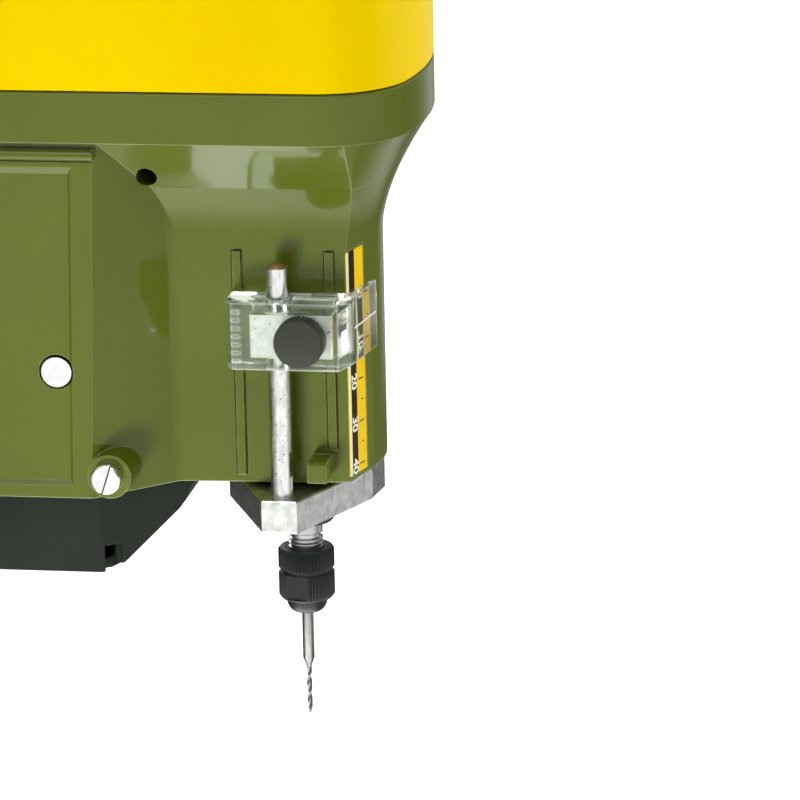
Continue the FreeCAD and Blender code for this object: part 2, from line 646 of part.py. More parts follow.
def make_belt_drive():
    save("spindle_pulley", pulley(SPINDLE_STEPS, SPINDLE_Y, SPINDLE_R + FIT, DECK_Z - 9.2, 5.0))
    save("pulley_bearing", less(upright(9.5, SPINDLE_Y, DECK_Z - 9.5, DECK_Z - 0.5),
                                [upright(5.0 + FIT, SPINDLE_Y, DECK_Z - 10, DECK_Z)]))
    drive = pulley(MOTOR_STEPS, MOTOR_Y, 2.5, PULLEY_LOW - 0.5, 5.0)
    grub_z = PULLEY_LOW + 2 * STEP_HEIGHT + STEP_HEIGHT / 2
    save("motor_pulley", less(drive, [across(1.5, MOTOR_Y, grub_z, 0.0, 24.0)]))
    save("motor_pulley_grub", across(1.5, MOTOR_Y, grub_z, 2.55, 9.0))
    z = PULLEY_LOW + STEP_HEIGHT * BELT_STEP + STEP_HEIGHT / 2
    ride = SPINDLE_STEPS[BELT_STEP]
    turns = []
    for y, spin in ((SPINDLE_Y, -180), (MOTOR_Y, 180)):
        disc = Part.Face(Part.Wire(Part.makeCircle(BELT_R, V(ride, y, z), V(0, 1, 0))))
        turns.append(disc.revolve(V(0, y, z), V(0, 0, 1), spin))
    runs = [bar(BELT_R, V(x, SPINDLE_Y, z), V(x, MOTOR_Y, z)) for x in (-ride, ride)]
    save("drive_belt", joined(turns + runs))


def make_motor():
    top = DECK_Z - DECK_THICKNESS
    can = turned([(2.55, MOTOR_LOW), (24.5, MOTOR_LOW), (MOTOR_R, MOTOR_LOW + 1.5), (MOTOR_R, top - 1),
                  (25, top), (2.55, top), (2.55, top - 9), (15.6, top - 9), (15.6, MOTOR_LOW + 9),
                  (2.55, MOTOR_LOW + 9)], V(0, MOTOR_Y, 0))
    save("motor_can", less(can, [upright(2.0, y, top - 7, top + 1, x) for x, y in MOTOR_SCREWS]))
    save("motor_screws", *[joined([upright(2.0, y, top - 6, DECK_Z + 0.5, x),
                                   upright(3.5, y, DECK_Z, DECK_Z + 2.4, x)]) for x, y in MOTOR_SCREWS])
    shaft_top = PULLEY_LOW + 3 * STEP_HEIGHT - 1
    save("motor_shaft", upright(2.5, MOTOR_Y, PAN_LOW + 4.4, shaft_top))
    save("motor_armature", less(upright(15.2, MOTOR_Y, MOTOR_LOW + 12, top - 12),
                                [upright(2.5, MOTOR_Y, MOTOR_LOW, top)]))
    hub = upright(5.0, MOTOR_Y, PAN_LOW + 5.0, PAN_LOW + 14.0)
    disc = upright(20.0, MOTOR_Y, PAN_LOW + 12.4, PAN_LOW + 14.0)
    blades = []
    for k in range(9):
        blade = box(-0.6, 0.6, MOTOR_Y + 4.0, MOTOR_Y + 20.0, PAN_LOW + 5.5, PAN_LOW + 13.0)
        blade.rotate(V(0, MOTOR_Y, 0), V(0, 0, 1), 40 * k)
        blades.append(blade)
    fan = joined([hub, disc] + blades)
    save("motor_fan", less(fan, [upright(2.5, MOTOR_Y, PAN_LOW, PAN_LOW + 20)]))


def pan_shape(grow, low):
    # From above the pan narrows along two slanted walls to a beak under the nose
    half = PAN_HALF - grow
    beak = BEAK_HALF - grow * 0.7
    corner_y = PAN_FRONT_Y + grow * 0.4
    rear_y = PAN_REAR_Y - grow
    tip_y = BEAK_TIP_Y + grow
    plan = [(half, rear_y), (half, corner_y), (beak, tip_y), (-beak, tip_y), (-half, corner_y),
            (-half, rear_y)]
    pan = slab(plan, low, HEAD_BOTTOM)
    for radius, y in ((5.0 - grow, rear_y), (2.4, corner_y)):
        corners = edges_where(pan, lambda e: is_upright(e) and abs(e.Vertexes[0].Y - y) < 0.01)
        pan = pan.makeFillet(radius, corners)
    # From the side its underside rises from a small foot along a slope to a rounded tip
    slope = [(-40.7, 0.0), (-39.2, 1.1), (-37.6, 1.5), (-26.2, 12.2), (-24.8, 14.1), (-24.1, 16.4),
             (-22.2, 19.2)]
    under = [(forward(u) + grow * 1.4, max(low, PAN_LOW + rise + grow * 0.5)) for u, rise in slope]
    under += [(under[-1][0] - 20, HEAD_BOTTOM + 1), (under[-1][0] - 20, low - 1), (under[0][0], low - 1)]
    return pan.cut(side_slab(under, -half, half))


def latch_notch(side, reach, start, end):
    # A notch in the slanted front wall, open below, between two distances from the pan's corner
    corner = V(side * PAN_HALF, PAN_FRONT_Y, PAN_LOW - 1)
    tip = V(side * BEAK_HALF, BEAK_TIP_Y, PAN_LOW - 1)
    along = (tip - corner).normalize()
    out = V(side * abs(along.y), -abs(along.x), 0)
    corners = [corner + along * way + out * height for way, height in
               ((start, -reach), (end, -reach), (end, 2.0), (start, 2.0))]
    return face_of(corners).extrude(V(0, 0, 7.2))


def make_fan_cover():
    shell = pan_shape(0.0, PAN_LOW).cut(pan_shape(PAN_WALL, PAN_LOW + PAN_WALL))
    posts = [upright(3.6, y, PAN_LOW + 1, HEAD_BOTTOM, x) for x, y in COVER_SCREWS]
    shell = joined([shell] + posts)
    cuts = [upright(1.5, y, PAN_LOW - 1, HEAD_BOTTOM + 1, x) for x, y in COVER_SCREWS]
    cuts += [upright(2.9, y, PAN_LOW - 1, PAN_LOW + 2.4, x) for x, y in COVER_SCREWS]
    cuts += [box(x - 1.1, x + 1.1, MOTOR_Y - 15, MOTOR_Y + 15, PAN_LOW - 1, PAN_LOW + 3)
             for x in (-15.0, -10.0, -5.0, 0.0, 5.0, 10.0, 15.0)]
    # the notch is deeper behind the wall's thin edge
    for side in (-1, 1):
        cuts += [latch_notch(side, 0.8, 1.0, 5.4), latch_notch(side, 2.6, 1.0, 4.4)]
    save("bottom_cover", less(shell, cuts))
    save("bottom_cover_screws", *[joined([upright(1.5, y, PAN_LOW + 2, HEAD_BOTTOM + 4.6, x),
                                          upright(2.7, y, PAN_LOW + 0.5, PAN_LOW + 2.4, x)])
                                  for x, y in COVER_SCREWS])


def make_belt_cover():
    low = SEAM_Z + COVER_GAP
    outer = band_block(low, COVER_TOP)
    outer = outer.makeFillet(6.5, edges_where(outer, lambda e: at_height(e, COVER_TOP)))
    inner = band_block(low - 1, COVER_TOP - COVER_WALL, COVER_WALL)
    inner = inner.makeFillet(4.0, edges_where(inner, lambda e: at_height(e, COVER_TOP - COVER_WALL)))
    shell = outer.cut(inner)
    lip = band_block(DECK_Z + 0.6, low + 3, RIM + 0.3).cut(band_block(DECK_Z, low + 4, RIM + 1.9))
    lip_root = band_block(low, low + 3, COVER_WALL - 1).cut(band_block(low - 1, low + 4, RIM + 1.9))
    shell = joined([shell, lip, lip_root])
    save("belt_cover", less(shell, [upright(2.5 + FIT, POST_Y, POST_TOP, COVER_TOP + 1)]))
    knob = turned([(0, 0.3), (6.0, 0.3), (6.0, 2.0), (11, 2.0), (11, 8.2), (10.2, 9), (0, 9)],
                  V(0, POST_Y, COVER_TOP))
    save("cover_knob", joined([knob, upright(2.5, POST_Y, POST_TOP - 14, COVER_TOP + 1)]))


def make_quill():
    quill = turned([(4.2, QUILL_LOW), (QUILL_NECK_R - 0.4, QUILL_LOW), (QUILL_NECK_R, QUILL_LOW + 0.4),
                    (QUILL_NECK_R, HEAD_BOTTOM), (QUILL_R, HEAD_BOTTOM), (QUILL_R, QUILL_TOP - 0.6),
                    (QUILL_R - 0.6, QUILL_TOP), (6.5, QUILL_TOP), (6.5, QUILL_TOP - 5),
                    (5.0, QUILL_TOP - 5), (5.0, HEAD_BOTTOM + 6), (6.5, HEAD_BOTTOM + 6),
                    (6.5, HEAD_BOTTOM + 1), (4.2, HEAD_BOTTOM + 1)], V(0, SPINDLE_Y, 0))
    pitch = math.pi * MODULE
    flat = box(-12, 12, SPINDLE_Y + QUILL_FLAT, SPINDLE_Y + 12, FEED_Z - 2 * pitch, FEED_Z + 9.2 * pitch)
    pitch_y = SPINDLE_Y + QUILL_FLAT - FEED_ADDENDUM
    gaps = [rack_gap(pitch_y, FEED_Z + k * pitch, 1, FEED_ADDENDUM, 6.0) for k in range(-1, 9)]
    save("quill_sleeve", less(quill, [flat] + gaps))
    rings = [less(upright(6.5, SPINDLE_Y, z, z + 5), [upright(SPINDLE_R + FIT, SPINDLE_Y, z - 1, z + 6)])
             for z in (HEAD_BOTTOM + 1, QUILL_TOP - 5)]
    save("quill_bearings", *rings)


def make_stop_plate():
    plan = [(4.1, 32.4), (16.7, 2.9), (18.0, -6.7), (9.0, -17.0), (-9.0, -17.0), (-17.0, -8.0), (-17.0, 4.2),
            (-4.1, 32.4)]
    plate = slab([(-d, forward(u)) for u, d in plan], PLATE_LOW, PLATE_TOP)
    rims = edges_where(plate, lambda e: at_height(e, PLATE_LOW) or at_height(e, PLATE_TOP))
    plate = plate.makeChamfer(0.35, rims)
    screw_z = (PLATE_LOW + PLATE_TOP) / 2
    holes = [upright(QUILL_NECK_R, SPINDLE_Y, PLATE_LOW - 1, PLATE_TOP + 1),
             upright(ROD_R, SPINDLE_Y, PLATE_LOW - 1, PLATE_TOP + 1, -ROD_OUT),
             across(2.0, SPINDLE_Y, screw_z, 5.0, 18.0)]
    save("stop_plate", less(plate, holes))
    save("stop_plate_screw", less(across(1.98, SPINDLE_Y, screw_z, QUILL_NECK_R + 0.1, 16.6),
                                  [across(1.0, SPINDLE_Y, screw_z, 14.0, 17.0)]))
    save("depth_rod", turned([(0, PLATE_LOW + 0.2), (ROD_R, PLATE_LOW + 0.2), (ROD_R, ROD_TOP - 0.9),
                              (ROD_R - 0.9, ROD_TOP), (0, ROD_TOP)], V(-ROD_OUT, SPINDLE_Y, 0)))


def make_depth_slider():
    # Clear block on the rod with a tongue that wraps forward over the scale
    plan = [(-11.6, SLIDER_BACK), (-11.6, 29.8), (-9.8, SLIDER_FACE), (14.8, SLIDER_FACE), (17.0, 26.5),
            (19.3, 11.6), (18.2, 11.3), (15.4, 21.3), (14.9, SLIDER_BACK)]
    block = slab([(-d, forward(u)) for u, d in plan], SLIDER_LOW, SLIDER_TOP)
    insert = (-5.6, 13.0, 24.4, 31.4, SEAM_Z - 61.5, SEAM_Z - 51.6)
    u0, u1, d0, d1, z0, z1 = insert
    cuts = [box(-d1 - 0.05, -SLIDER_BACK + 1, forward(u1 + 0.05), forward(u0 - 0.05), z0 - 0.05, z1 + 0.05),
            upright(ROD_R + FIT + 0.02, SPINDLE_Y, SLIDER_LOW - 1, SLIDER_TOP + 1, -ROD_OUT),
            across(1.85, forward(KNOB_FORWARD), KNOB_Z, -SLIDER_FACE - 1, -30.0)]
    save("depth_slider", less(block, cuts))
    clamp = box(-d1, -d0, forward(u1), forward(u0), z0, z1)
    clamp = less(clamp, [upright(ROD_R + FIT, SPINDLE_Y, z0 - 1, z1 + 1, -ROD_OUT),
                         box(-ROD_OUT - 0.35, -ROD_OUT + 0.35, forward(u1 + 1), forward(1.0), z0 - 1, z1 + 1),
                         across(1.5 + FIT, forward(KNOB_FORWARD), KNOB_Z, -34.0, -20.0)])
    save("slider_clamp_block", clamp)
    knob = turned([(0, 0), (KNOB_R - 0.5, 0), (KNOB_R, 0.5), (KNOB_R, 4.3), (KNOB_R - 0.6, 4.9), (0, 4.9)],
                  V(-SLIDER_FACE - 0.3, forward(KNOB_FORWARD), KNOB_Z), V(-1, 0, 0))
    shank = across(1.5, forward(KNOB_FORWARD), KNOB_Z, -SLIDER_FACE - 1, -24.8)
    save("slider_thumb_screw", joined([knob, shank]))


def make_scale():
    # Printed strip in its shallow pocket
    strip = scale_plate(0.03, SCALE_WIDTH, SCALE_POCKET, SCALE_LOW, SCALE_HIGH)
    room = scale_plate(-1.0, SCALE_WIDTH + 1.0, SCALE_POCKET - 0.2, SCALE_LOW - 1, SCALE_HIGH + 1)
    save("depth_scale_strip", less(strip, [room]))


def make_spindle():
    nose = SEAM_Z - 119.0
    shaft = turned([(2.55, nose), (THREAD_R - 0.4, nose), (THREAD_R, nose + 0.4), (THREAD_R, SEAM_Z - 112.6),
                    (NECK_R, SEAM_Z - 112.4), (NECK_R, SEAM_Z - 103.0), (SPINDLE_R, SEAM_Z - 103.0),
                    (SPINDLE_R, SEAM_Z + 36.5), (0, SEAM_Z + 36.5), (0, SEAM_Z - 108.5),
                    (2.55, SEAM_Z - 108.5)], V(0, SPINDLE_Y, 0))
    save("spindle_shaft", shaft)
    collet = turned([(SHANK_R, SEAM_Z - 130.0), (2.6, SEAM_Z - 130.0), (3.6, SEAM_Z - 123.5),
                     (3.6, SEAM_Z - 120.5), (2.5, nose - 0.2), (2.5, SEAM_Z - 109.5),
                     (SHANK_R, SEAM_Z - 109.5)], V(0, SPINDLE_Y, 0))
    slits = [box(-0.2, 0.2, SPINDLE_Y - 5, SPINDLE_Y + 5, SEAM_Z - 131, SEAM_Z - 114),
             box(-5, 5, SPINDLE_Y - 0.2, SPINDLE_Y + 0.2, SEAM_Z - 131, SEAM_Z - 114)]
    save("collet", less(collet, slits))
    groove = SEAM_Z - 121.2
    nut = turned([(4.12, NUT_TOP), (NUT_R - 0.5, NUT_TOP), (NUT_R, NUT_TOP - 0.5), (NUT_R, groove + 0.7),
                  (NUT_R - 0.6, groove + 0.4), (NUT_R - 0.6, groove - 0.4), (NUT_R, groove - 0.7),
                  (NUT_R, SEAM_Z - 127.0), (5.8, SEAM_Z - 128.5), (4.75, SEAM_Z - 128.5),
                  (4.75, NUT_LOW + 0.8), (4.0, NUT_LOW), (2.7, NUT_LOW), (2.7, SEAM_Z - 130.2),
                  (3.7, SEAM_Z - 124.0),
                  (3.7, SEAM_Z - 120.2), (4.12, SEAM_Z - 120.2)], V(0, SPINDLE_Y, 0))
    flats = []
    for turn in (0, 180):
        flat = box(-NUT_R - 2, -5.7, SPINDLE_Y - 8, SPINDLE_Y + 8, SEAM_Z - 129.0, groove - 0.7)
        flat.rotate(V(0, SPINDLE_Y, 0), V(0, 0, 1), turn - 14)
        flats.append(flat)
    save("collet_nut", less(nut, flats))
    drill = [(0, TIP_Z), (DRILL_R, TIP_Z + 0.4), (DRILL_R, SHANK_END - 1.7), (SHANK_R, SHANK_END),
             (SHANK_R, SEAM_Z - 112.0), (0, SEAM_Z - 112.0)]
    save("drill_bit", turned(drill, V(0, SPINDLE_Y, 0)))


def make_feed():
    pitch_angle = math.pi * MODULE / FEED_R
    outline = []
    for k in range(-1, 9):
        outline += tooth_outline(FEED_R, FEED_ADDENDUM, k * pitch_angle)
    points = [(FEED_Y, FEED_Z)] + [(FEED_Y - r * math.cos(a), FEED_Z + r * math.sin(a)) for r, a in outline]
    web = side_slab(points, -3.0, 3.0)
    middle = 3.5 * pitch_angle
    window = V(0, FEED_Y - 27 * math.cos(middle), FEED_Z + 27 * math.sin(middle))
    gear = joined([web, across(8.0, FEED_Y, FEED_Z, -6.0, 6.0)])
    gear = less(gear, [across(FEED_SHAFT_R, FEED_Y, FEED_Z, -8.0, 8.0),
                       across(5.0, window.y, window.z, -4, 4)])
    save("sector_gear", gear)
    save("feed_shaft", across(FEED_SHAFT_R, FEED_Y, FEED_Z, -34.4, 48.0))
    bore = across(FEED_SHAFT_R + FIT, FEED_Y, FEED_Z, -34.0, 37.0)
    bushes = [less(across(6.0, FEED_Y, FEED_Z, x0, x1), [bore]) for x0, x1 in ((-33.0, -29.5), (31.0, 36.5))]
    save("feed_shaft_bushes", *bushes)
    reach = V(math.sin(LEVER_SPLAY), -math.cos(LEVER_SPLAY) * math.cos(LEVER_RISE),
              math.cos(LEVER_SPLAY) * math.sin(LEVER_RISE))
    centre = V(43.5, FEED_Y, FEED_Z)
    rod = bar(3.5, centre + reach * 5.0, centre + reach * LEVER_LENGTH)
    hub = turned([(0, 0), (9.0, 0), (10.0, 1.0), (10.0, 10.5), (8.5, 12.0), (0, 12.0)],
                 V(37.0, FEED_Y, FEED_Z), V(1, 0, 0))
    save("feed_hub", less(hub, [across(FEED_SHAFT_R, FEED_Y, FEED_Z, 36.0, 48.0), rod]))
    save("feed_lever_rod", rod.cut(across(FEED_SHAFT_R, FEED_Y, FEED_Z, 30.0, 48.0)))
    ball = turned([(0, 0), (4.5, 0), (5.2, 1.2), (8.6, 6.5), (9.6, 11.0), (8.8, 15.5), (6.4, 19.2),
                   (3.0, 21.0), (0, 21.2)], centre + reach * (LEVER_LENGTH - 9.0), reach)
    save("feed_lever_ball", ball.cut(rod))


def make_return_spring():
    coil_r = 5.6
    wire_r = 0.6
    helix = Part.makeHelix(3.0, 18.0, coil_r)
    helix.rotate(V(0, 0, 0), V(0, 1, 0), 90)
    helix.translate(V(-27.0, FEED_Y, FEED_Z))
    start = helix.Edges[0].valueAt(helix.Edges[0].FirstParameter)
    way = helix.Edges[0].tangentAt(helix.Edges[0].FirstParameter)
    section = Part.Wire(Part.makeCircle(wire_r, start, way))
    save("return_spring", Part.Wire(helix.Edges).makePipeShell([section], True, True))


def make_fittings():
    head_x = -38.5
    y = SIDE_SCREW_Y
    z = SIDE_SCREW_Z
    head = turned([(0, 0), (3.55, 0), (3.55, 2.3), (3.1, 2.8), (0, 2.8)], V(head_x, y, z), V(-1, 0, 0))
    slot = box(head_x - 4, head_x - 1.7, y - 0.35, y + 0.35, z - 5, z + 5)
    slot.rotate(V(0, y, z), V(1, 0, 0), 20)
    screw = joined([head, across(1.98, y, z, head_x - 0.5, -28.5)])
    save("side_lock_screw", less(screw, [slot]))
    flange = box(35.0, 36.4, SWITCH_Y - 7.6, SWITCH_Y + 7.6, SWITCH_Z - 12, SWITCH_Z + 12)
    flange = flange.makeChamfer(0.5, edges_where(flange, lambda e: all(v.X > 36 for v in e.Vertexes)))
    case = box(26.0, 35.1, SWITCH_Y - 6.5, SWITCH_Y + 6.5, SWITCH_Z - 10.5, SWITCH_Z + 10.5)
    well = box(30.5, 38.0, SWITCH_Y - 5.3, SWITCH_Y + 5.3, SWITCH_Z - 9.2, SWITCH_Z + 9.2)
    pivot_from = V(ROCKER_PIVOT_X, SWITCH_Y - 6.1, SWITCH_Z)
    pivot_to = V(ROCKER_PIVOT_X, SWITCH_Y + 6.1, SWITCH_Z)
    save("switch_bezel", less(joined([flange, case]), [well, bar(1.25, pivot_from, pivot_to)]))
    rocker = face_of([V(x, SWITCH_Y - 5.0, SWITCH_Z + z) for x, z in
                      ((32.0, -6.5), (32.0, 6.5), (36.7, 8.2), (36.0, 0.0), (38.6, -8.0))])
    trunnions = bar(1.2, pivot_from + V(0, 0.1, 0), pivot_to - V(0, 0.1, 0))
    save("switch_rocker", joined([rocker.extrude(V(0, 10.0, 0)), trunnions]))
    gland = turned([(3.2, -7), (4.45, -7), (4.45, 0), (6.8, 0), (6.8, 3.5), (5.4, 4.0), (5.0, 8.0),
                    (3.2, 8.0)], V(GLAND_X, WALL_REAR_Y, GLAND_Z), V(0, 1, 0))
    save("cable_gland", gland)


os.makedirs("parts", exist_ok=True)
make_base()
make_column()
make_head_casting()
make_fan_cover()
make_scale()
make_motor()
make_belt_drive()
make_belt_cover()
make_quill()
make_stop_plate()
make_depth_slider()
make_spindle()
make_feed()
make_return_spring()
make_crank()
make_clamp()
make_fittings()
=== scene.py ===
import bpy, bmesh, math
from mathutils import Matrix, Vector


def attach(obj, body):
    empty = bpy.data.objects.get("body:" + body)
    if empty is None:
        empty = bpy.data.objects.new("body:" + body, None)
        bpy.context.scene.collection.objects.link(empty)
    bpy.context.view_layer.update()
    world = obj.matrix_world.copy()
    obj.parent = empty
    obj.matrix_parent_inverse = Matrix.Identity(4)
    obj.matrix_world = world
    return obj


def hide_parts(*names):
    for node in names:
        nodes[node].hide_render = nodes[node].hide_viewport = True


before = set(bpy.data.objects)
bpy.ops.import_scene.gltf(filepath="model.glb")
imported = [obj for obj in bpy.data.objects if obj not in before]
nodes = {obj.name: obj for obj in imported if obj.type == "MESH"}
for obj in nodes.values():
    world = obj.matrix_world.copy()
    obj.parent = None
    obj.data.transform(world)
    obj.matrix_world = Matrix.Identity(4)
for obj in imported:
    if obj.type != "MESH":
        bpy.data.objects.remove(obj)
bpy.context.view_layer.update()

mm = 0.001
scene = bpy.context.scene
seamZ = 293.0  # where the yellow cover meets the head, mm above the bench
spindleFoot = (0, -58, 0)  # where the spindle's axis meets the bench
print("frame loaded,", len(nodes), "nodes")

# Camera: a long lens from the machine's left, a little above and in front
cameraSet = {"azimuth": -80.5, "elevation": 15.5, "roll": 0.02102, "lens": 232.817, "distance": 1.2018,
             "aim": (0, -81.09 * mm, 213.32 * mm)}


def makeCamera(c):
    turn, rise = math.radians(c["azimuth"]), math.radians(c["elevation"])
    back = Vector((math.sin(turn) * math.cos(rise), -math.cos(turn) * math.cos(rise), math.sin(rise)))
    right = (-back).cross(Vector((0, 0, 1))).normalized()
    up = right.cross(-back)
    rolledRight = math.cos(c["roll"]) * right - math.sin(c["roll"]) * up
    rolledUp = math.sin(c["roll"]) * right + math.cos(c["roll"]) * up
    camera = bpy.data.objects.new("camera", bpy.data.cameras.new("camera"))
    camera.data.lens = c["lens"]
    camera.data.sensor_width = 36
    camera.data.clip_end = 30
    place = Matrix((rolledRight, rolledUp, back)).transposed().to_4x4()
    place.translation = Vector(c["aim"]) + back * c["distance"]
    camera.matrix_world = place
    scene.collection.objects.link(camera)
    scene.camera = camera


makeCamera(cameraSet)
print("camera placed")


def linear(hexText):
    values = [int(hexText[i:i + 2], 16) / 255 for i in (1, 3, 5)]
    return [v / 12.92 if v <= 0.04045 else ((v + 0.055) / 1.055) ** 2.4 for v in values] + [1.0]


def addNode(tree, kind, settings=None, wires=None):
    # One shader node, its settings and what is plugged into it; stops are the places and colours along a ramp
    node = tree.nodes.new("ShaderNode" + kind)
    for name, value in (settings or {}).items():
        if name == "stops":
            for stop, (position, colour) in zip(node.color_ramp.elements, value):
                stop.position, stop.color = position, linear(colour)
        elif hasattr(node, str(name)):
            setattr(node, name, value)
        else:
            node.inputs[name].default_value = value
    for name, source in (wires or {}).items():
        tree.links.new(source, node.inputs[name])
    return node


def newFinish(name, settings):
    # scales of patterns are per metre: 1000 makes marks about 1 mm wide
    material = bpy.data.materials.new(name)
    material.use_nodes = True
    tree = material.node_tree
    tree.nodes.clear()
    shader = addNode(tree, "BsdfPrincipled", settings)
    addNode(tree, "OutputMaterial", None, {"Surface": shader.outputs[0]})
    place = addNode(tree, "TexCoord").outputs["Object"]
    return material, tree, shader, place


def edgeMask(tree, width, low, high):
    # 1 along edges, 0 on flats: how far a normal rounded over the width in mm leans from the true one
    rounded = addNode(tree, "Bevel", {"samples": 6, "Radius": width * mm})
    true = addNode(tree, "NewGeometry").outputs["Normal"]
    turned = addNode(tree, "VectorMath", {"operation": "DOT_PRODUCT"}, {0: rounded.outputs[0], 1: true})
    mask = addNode(tree, "MapRange", {"From Min": high, "From Max": low}, {"Value": turned.outputs["Value"]})
    return mask.outputs[0]


def relief(tree, shader, height, strength, depth, edge=0.0):
    # bump of a depth in mm; a soft edge rounds corners for the light only, so that each one catches a thin line
    wires = {"Height": height}
    if edge > 0:
        wires["Normal"] = addNode(tree, "Bevel", {"samples": 6, "Radius": edge * mm}).outputs[0]
    bump = addNode(tree, "Bump", {"Strength": strength, "Distance": depth * mm}, wires)
    tree.links.new(bump.outputs[0], shader.inputs["Normal"])


# Finishes: what each part is made of and how its surface was made
def enamel(name, dark, light):
    # stove enamel on a pressure die casting: wet gloss over a faint orange peel 2 mm wide, with a painted highlight
    # that makes the edges paler
    material, tree, shader, place = newFinish(name, {"Roughness": 0.32, "IOR": 1.5, "Specular IOR Level": 0.12,
                                                     "Specular Tint": linear("#D9E6A8"), "Coat Weight": 0.54,
                                                     "Coat Roughness": 0.07})
    drift = addNode(tree, "TexNoise", {"Scale": 14.0, "Detail": 2.0}, {"Vector": place})
    peel = addNode(tree, "TexNoise", {"Scale": 480.0, "Detail": 1.0}, {"Vector": place})
    # painted highlight: edges mixed towards pale green #B4C082 so that they look lit
    paintedEdgeLight = addNode(tree, "Math", {"operation": "MULTIPLY", 1: 0.7}, {0: edgeMask(tree, 0.5, 0.8, 0.97)})
    paint = addNode(tree, "ValToRGB", {"stops": ((0.35, dark), (0.65, light))}, {"Fac": drift.outputs[0]})
    colour = addNode(tree, "Mix", {"data_type": "RGBA", 7: linear("#B4C082")},
                     {0: paintedEdgeLight.outputs[0], 6: paint.outputs[0]})
    tree.links.new(colour.outputs[2], shader.inputs["Base Color"])
    relief(tree, shader, peel.outputs[0], 0.16, 0.02, 0.55)
    soft = addNode(tree, "Bevel", {"samples": 6, "Radius": 0.55 * mm})
    tree.links.new(soft.outputs[0], shader.inputs["Coat Normal"])
    return material


def mouldedPlastic(name, dark, light, rough, grain, sheen=0.45, tint="#FFFFFF"):
    # injection moulding: an even colour, its skin broken by the spark grain of the tool, drawn 0.6 mm wide so it shows
    material, tree, shader, place = newFinish(name, {"IOR": 1.49, "Specular IOR Level": sheen,
                                                     "Specular Tint": linear(tint)})
    drift = addNode(tree, "TexNoise", {"Scale": 20.0, "Detail": 3.0}, {"Vector": place})
    spark = addNode(tree, "TexNoise", {"Scale": 1600.0, "Detail": 2.0}, {"Vector": place})
    colour = addNode(tree, "ValToRGB", {"stops": ((0.35, dark), (0.65, light))}, {"Fac": drift.outputs[0]})
    gloss = addNode(tree, "MapRange", {"To Min": rough - 0.05, "To Max": rough + 0.08}, {"Value": spark.outputs[0]})
    tree.links.new(colour.outputs[0], shader.inputs["Base Color"])
    tree.links.new(gloss.outputs[0], shader.inputs["Roughness"])
    relief(tree, shader, spark.outputs[0], grain, 0.015, 0.4)
    return material


def stained(tree, place, colour, size, amount):
    # small dark stains, size in mm
    stain = addNode(tree, "TexNoise", {"Scale": 0.65 / (size * mm), "Detail": 1.0}, {"Vector": place})
    spot = addNode(tree, "MapRange", {"From Min": 0.66, "From Max": 0.74, "To Max": amount},
                   {"Value": stain.outputs[0]})
    mixed = addNode(tree, "Mix", {"data_type": "RGBA", 7: linear("#2A2B29")}, {0: spot.outputs[0], 6: colour})
    return mixed.outputs[2]


def steel(name, dark, light, rough, lay, pits=0.0):
    # bare, blackened or plated steel: fine marks that grinding, turning or tumbling left in its gloss and tone;
    # lay stretches them, small along the marks and large across, for x, y and z
    material, tree, shader, place = newFinish(name, {"Metallic": 1.0})
    stretch = addNode(tree, "Mapping", {"Scale": lay}, {"Vector": place})
    marks = addNode(tree, "TexNoise", {"Scale": 1.0, "Detail": 4.0, "Roughness": 0.7}, {"Vector": stretch.outputs[0]})
    colour = addNode(tree, "ValToRGB", {"stops": ((0.3, dark), (0.7, light))}, {"Fac": marks.outputs[0]}).outputs[0]
    if pits > 0:
        colour = stained(tree, place, colour, 0.5, pits)
    gloss = addNode(tree, "MapRange", {"To Min": rough - 0.06, "To Max": rough + 0.08}, {"Value": marks.outputs[0]})
    tree.links.new(colour, shader.inputs["Base Color"])
    tree.links.new(gloss.outputs[0], shader.inputs["Roughness"])
    relief(tree, shader, marks.outputs[0], 0.12, 0.01)
    return material


def milledAluminium(name, dark, light, lay, rough=0.26, pits=0.0, metallic=1.0):
    # sawn and milled bar: streaks across the cut, with cloudy patches 2 mm wide where the cutter rubbed;
    # a sanded face, with metallic below 1, scatters part of the light like a matt surface
    material, tree, shader, place = newFinish(name, {"Metallic": metallic})
    stretch = addNode(tree, "Mapping", {"Scale": lay}, {"Vector": place})
    streak = addNode(tree, "TexNoise", {"Scale": 1.0, "Detail": 5.0, "Roughness": 0.75}, {"Vector": stretch.outputs[0]})
    cloud = addNode(tree, "TexNoise", {"Scale": 420.0, "Detail": 3.0}, {"Vector": place})
    both = addNode(tree, "Math", {"operation": "MULTIPLY_ADD", 1: 0.55}, {0: streak.outputs[0], 2: cloud.outputs[0]})
    half = addNode(tree, "Math", {"operation": "MULTIPLY", 1: 0.65}, {0: both.outputs[0]}).outputs[0]
    colour = addNode(tree, "ValToRGB", {"stops": ((0.36, dark), (0.62, light))}, {"Fac": half}).outputs[0]
    if pits > 0:
        colour = stained(tree, place, colour, 0.45, pits)
    gloss = addNode(tree, "MapRange", {"To Min": rough, "To Max": rough + 0.18}, {"Value": half})
    tree.links.new(colour, shader.inputs["Base Color"])
    tree.links.new(gloss.outputs[0], shader.inputs["Roughness"])
    relief(tree, shader, half, 0.3, 0.02, 0.25)
    return material


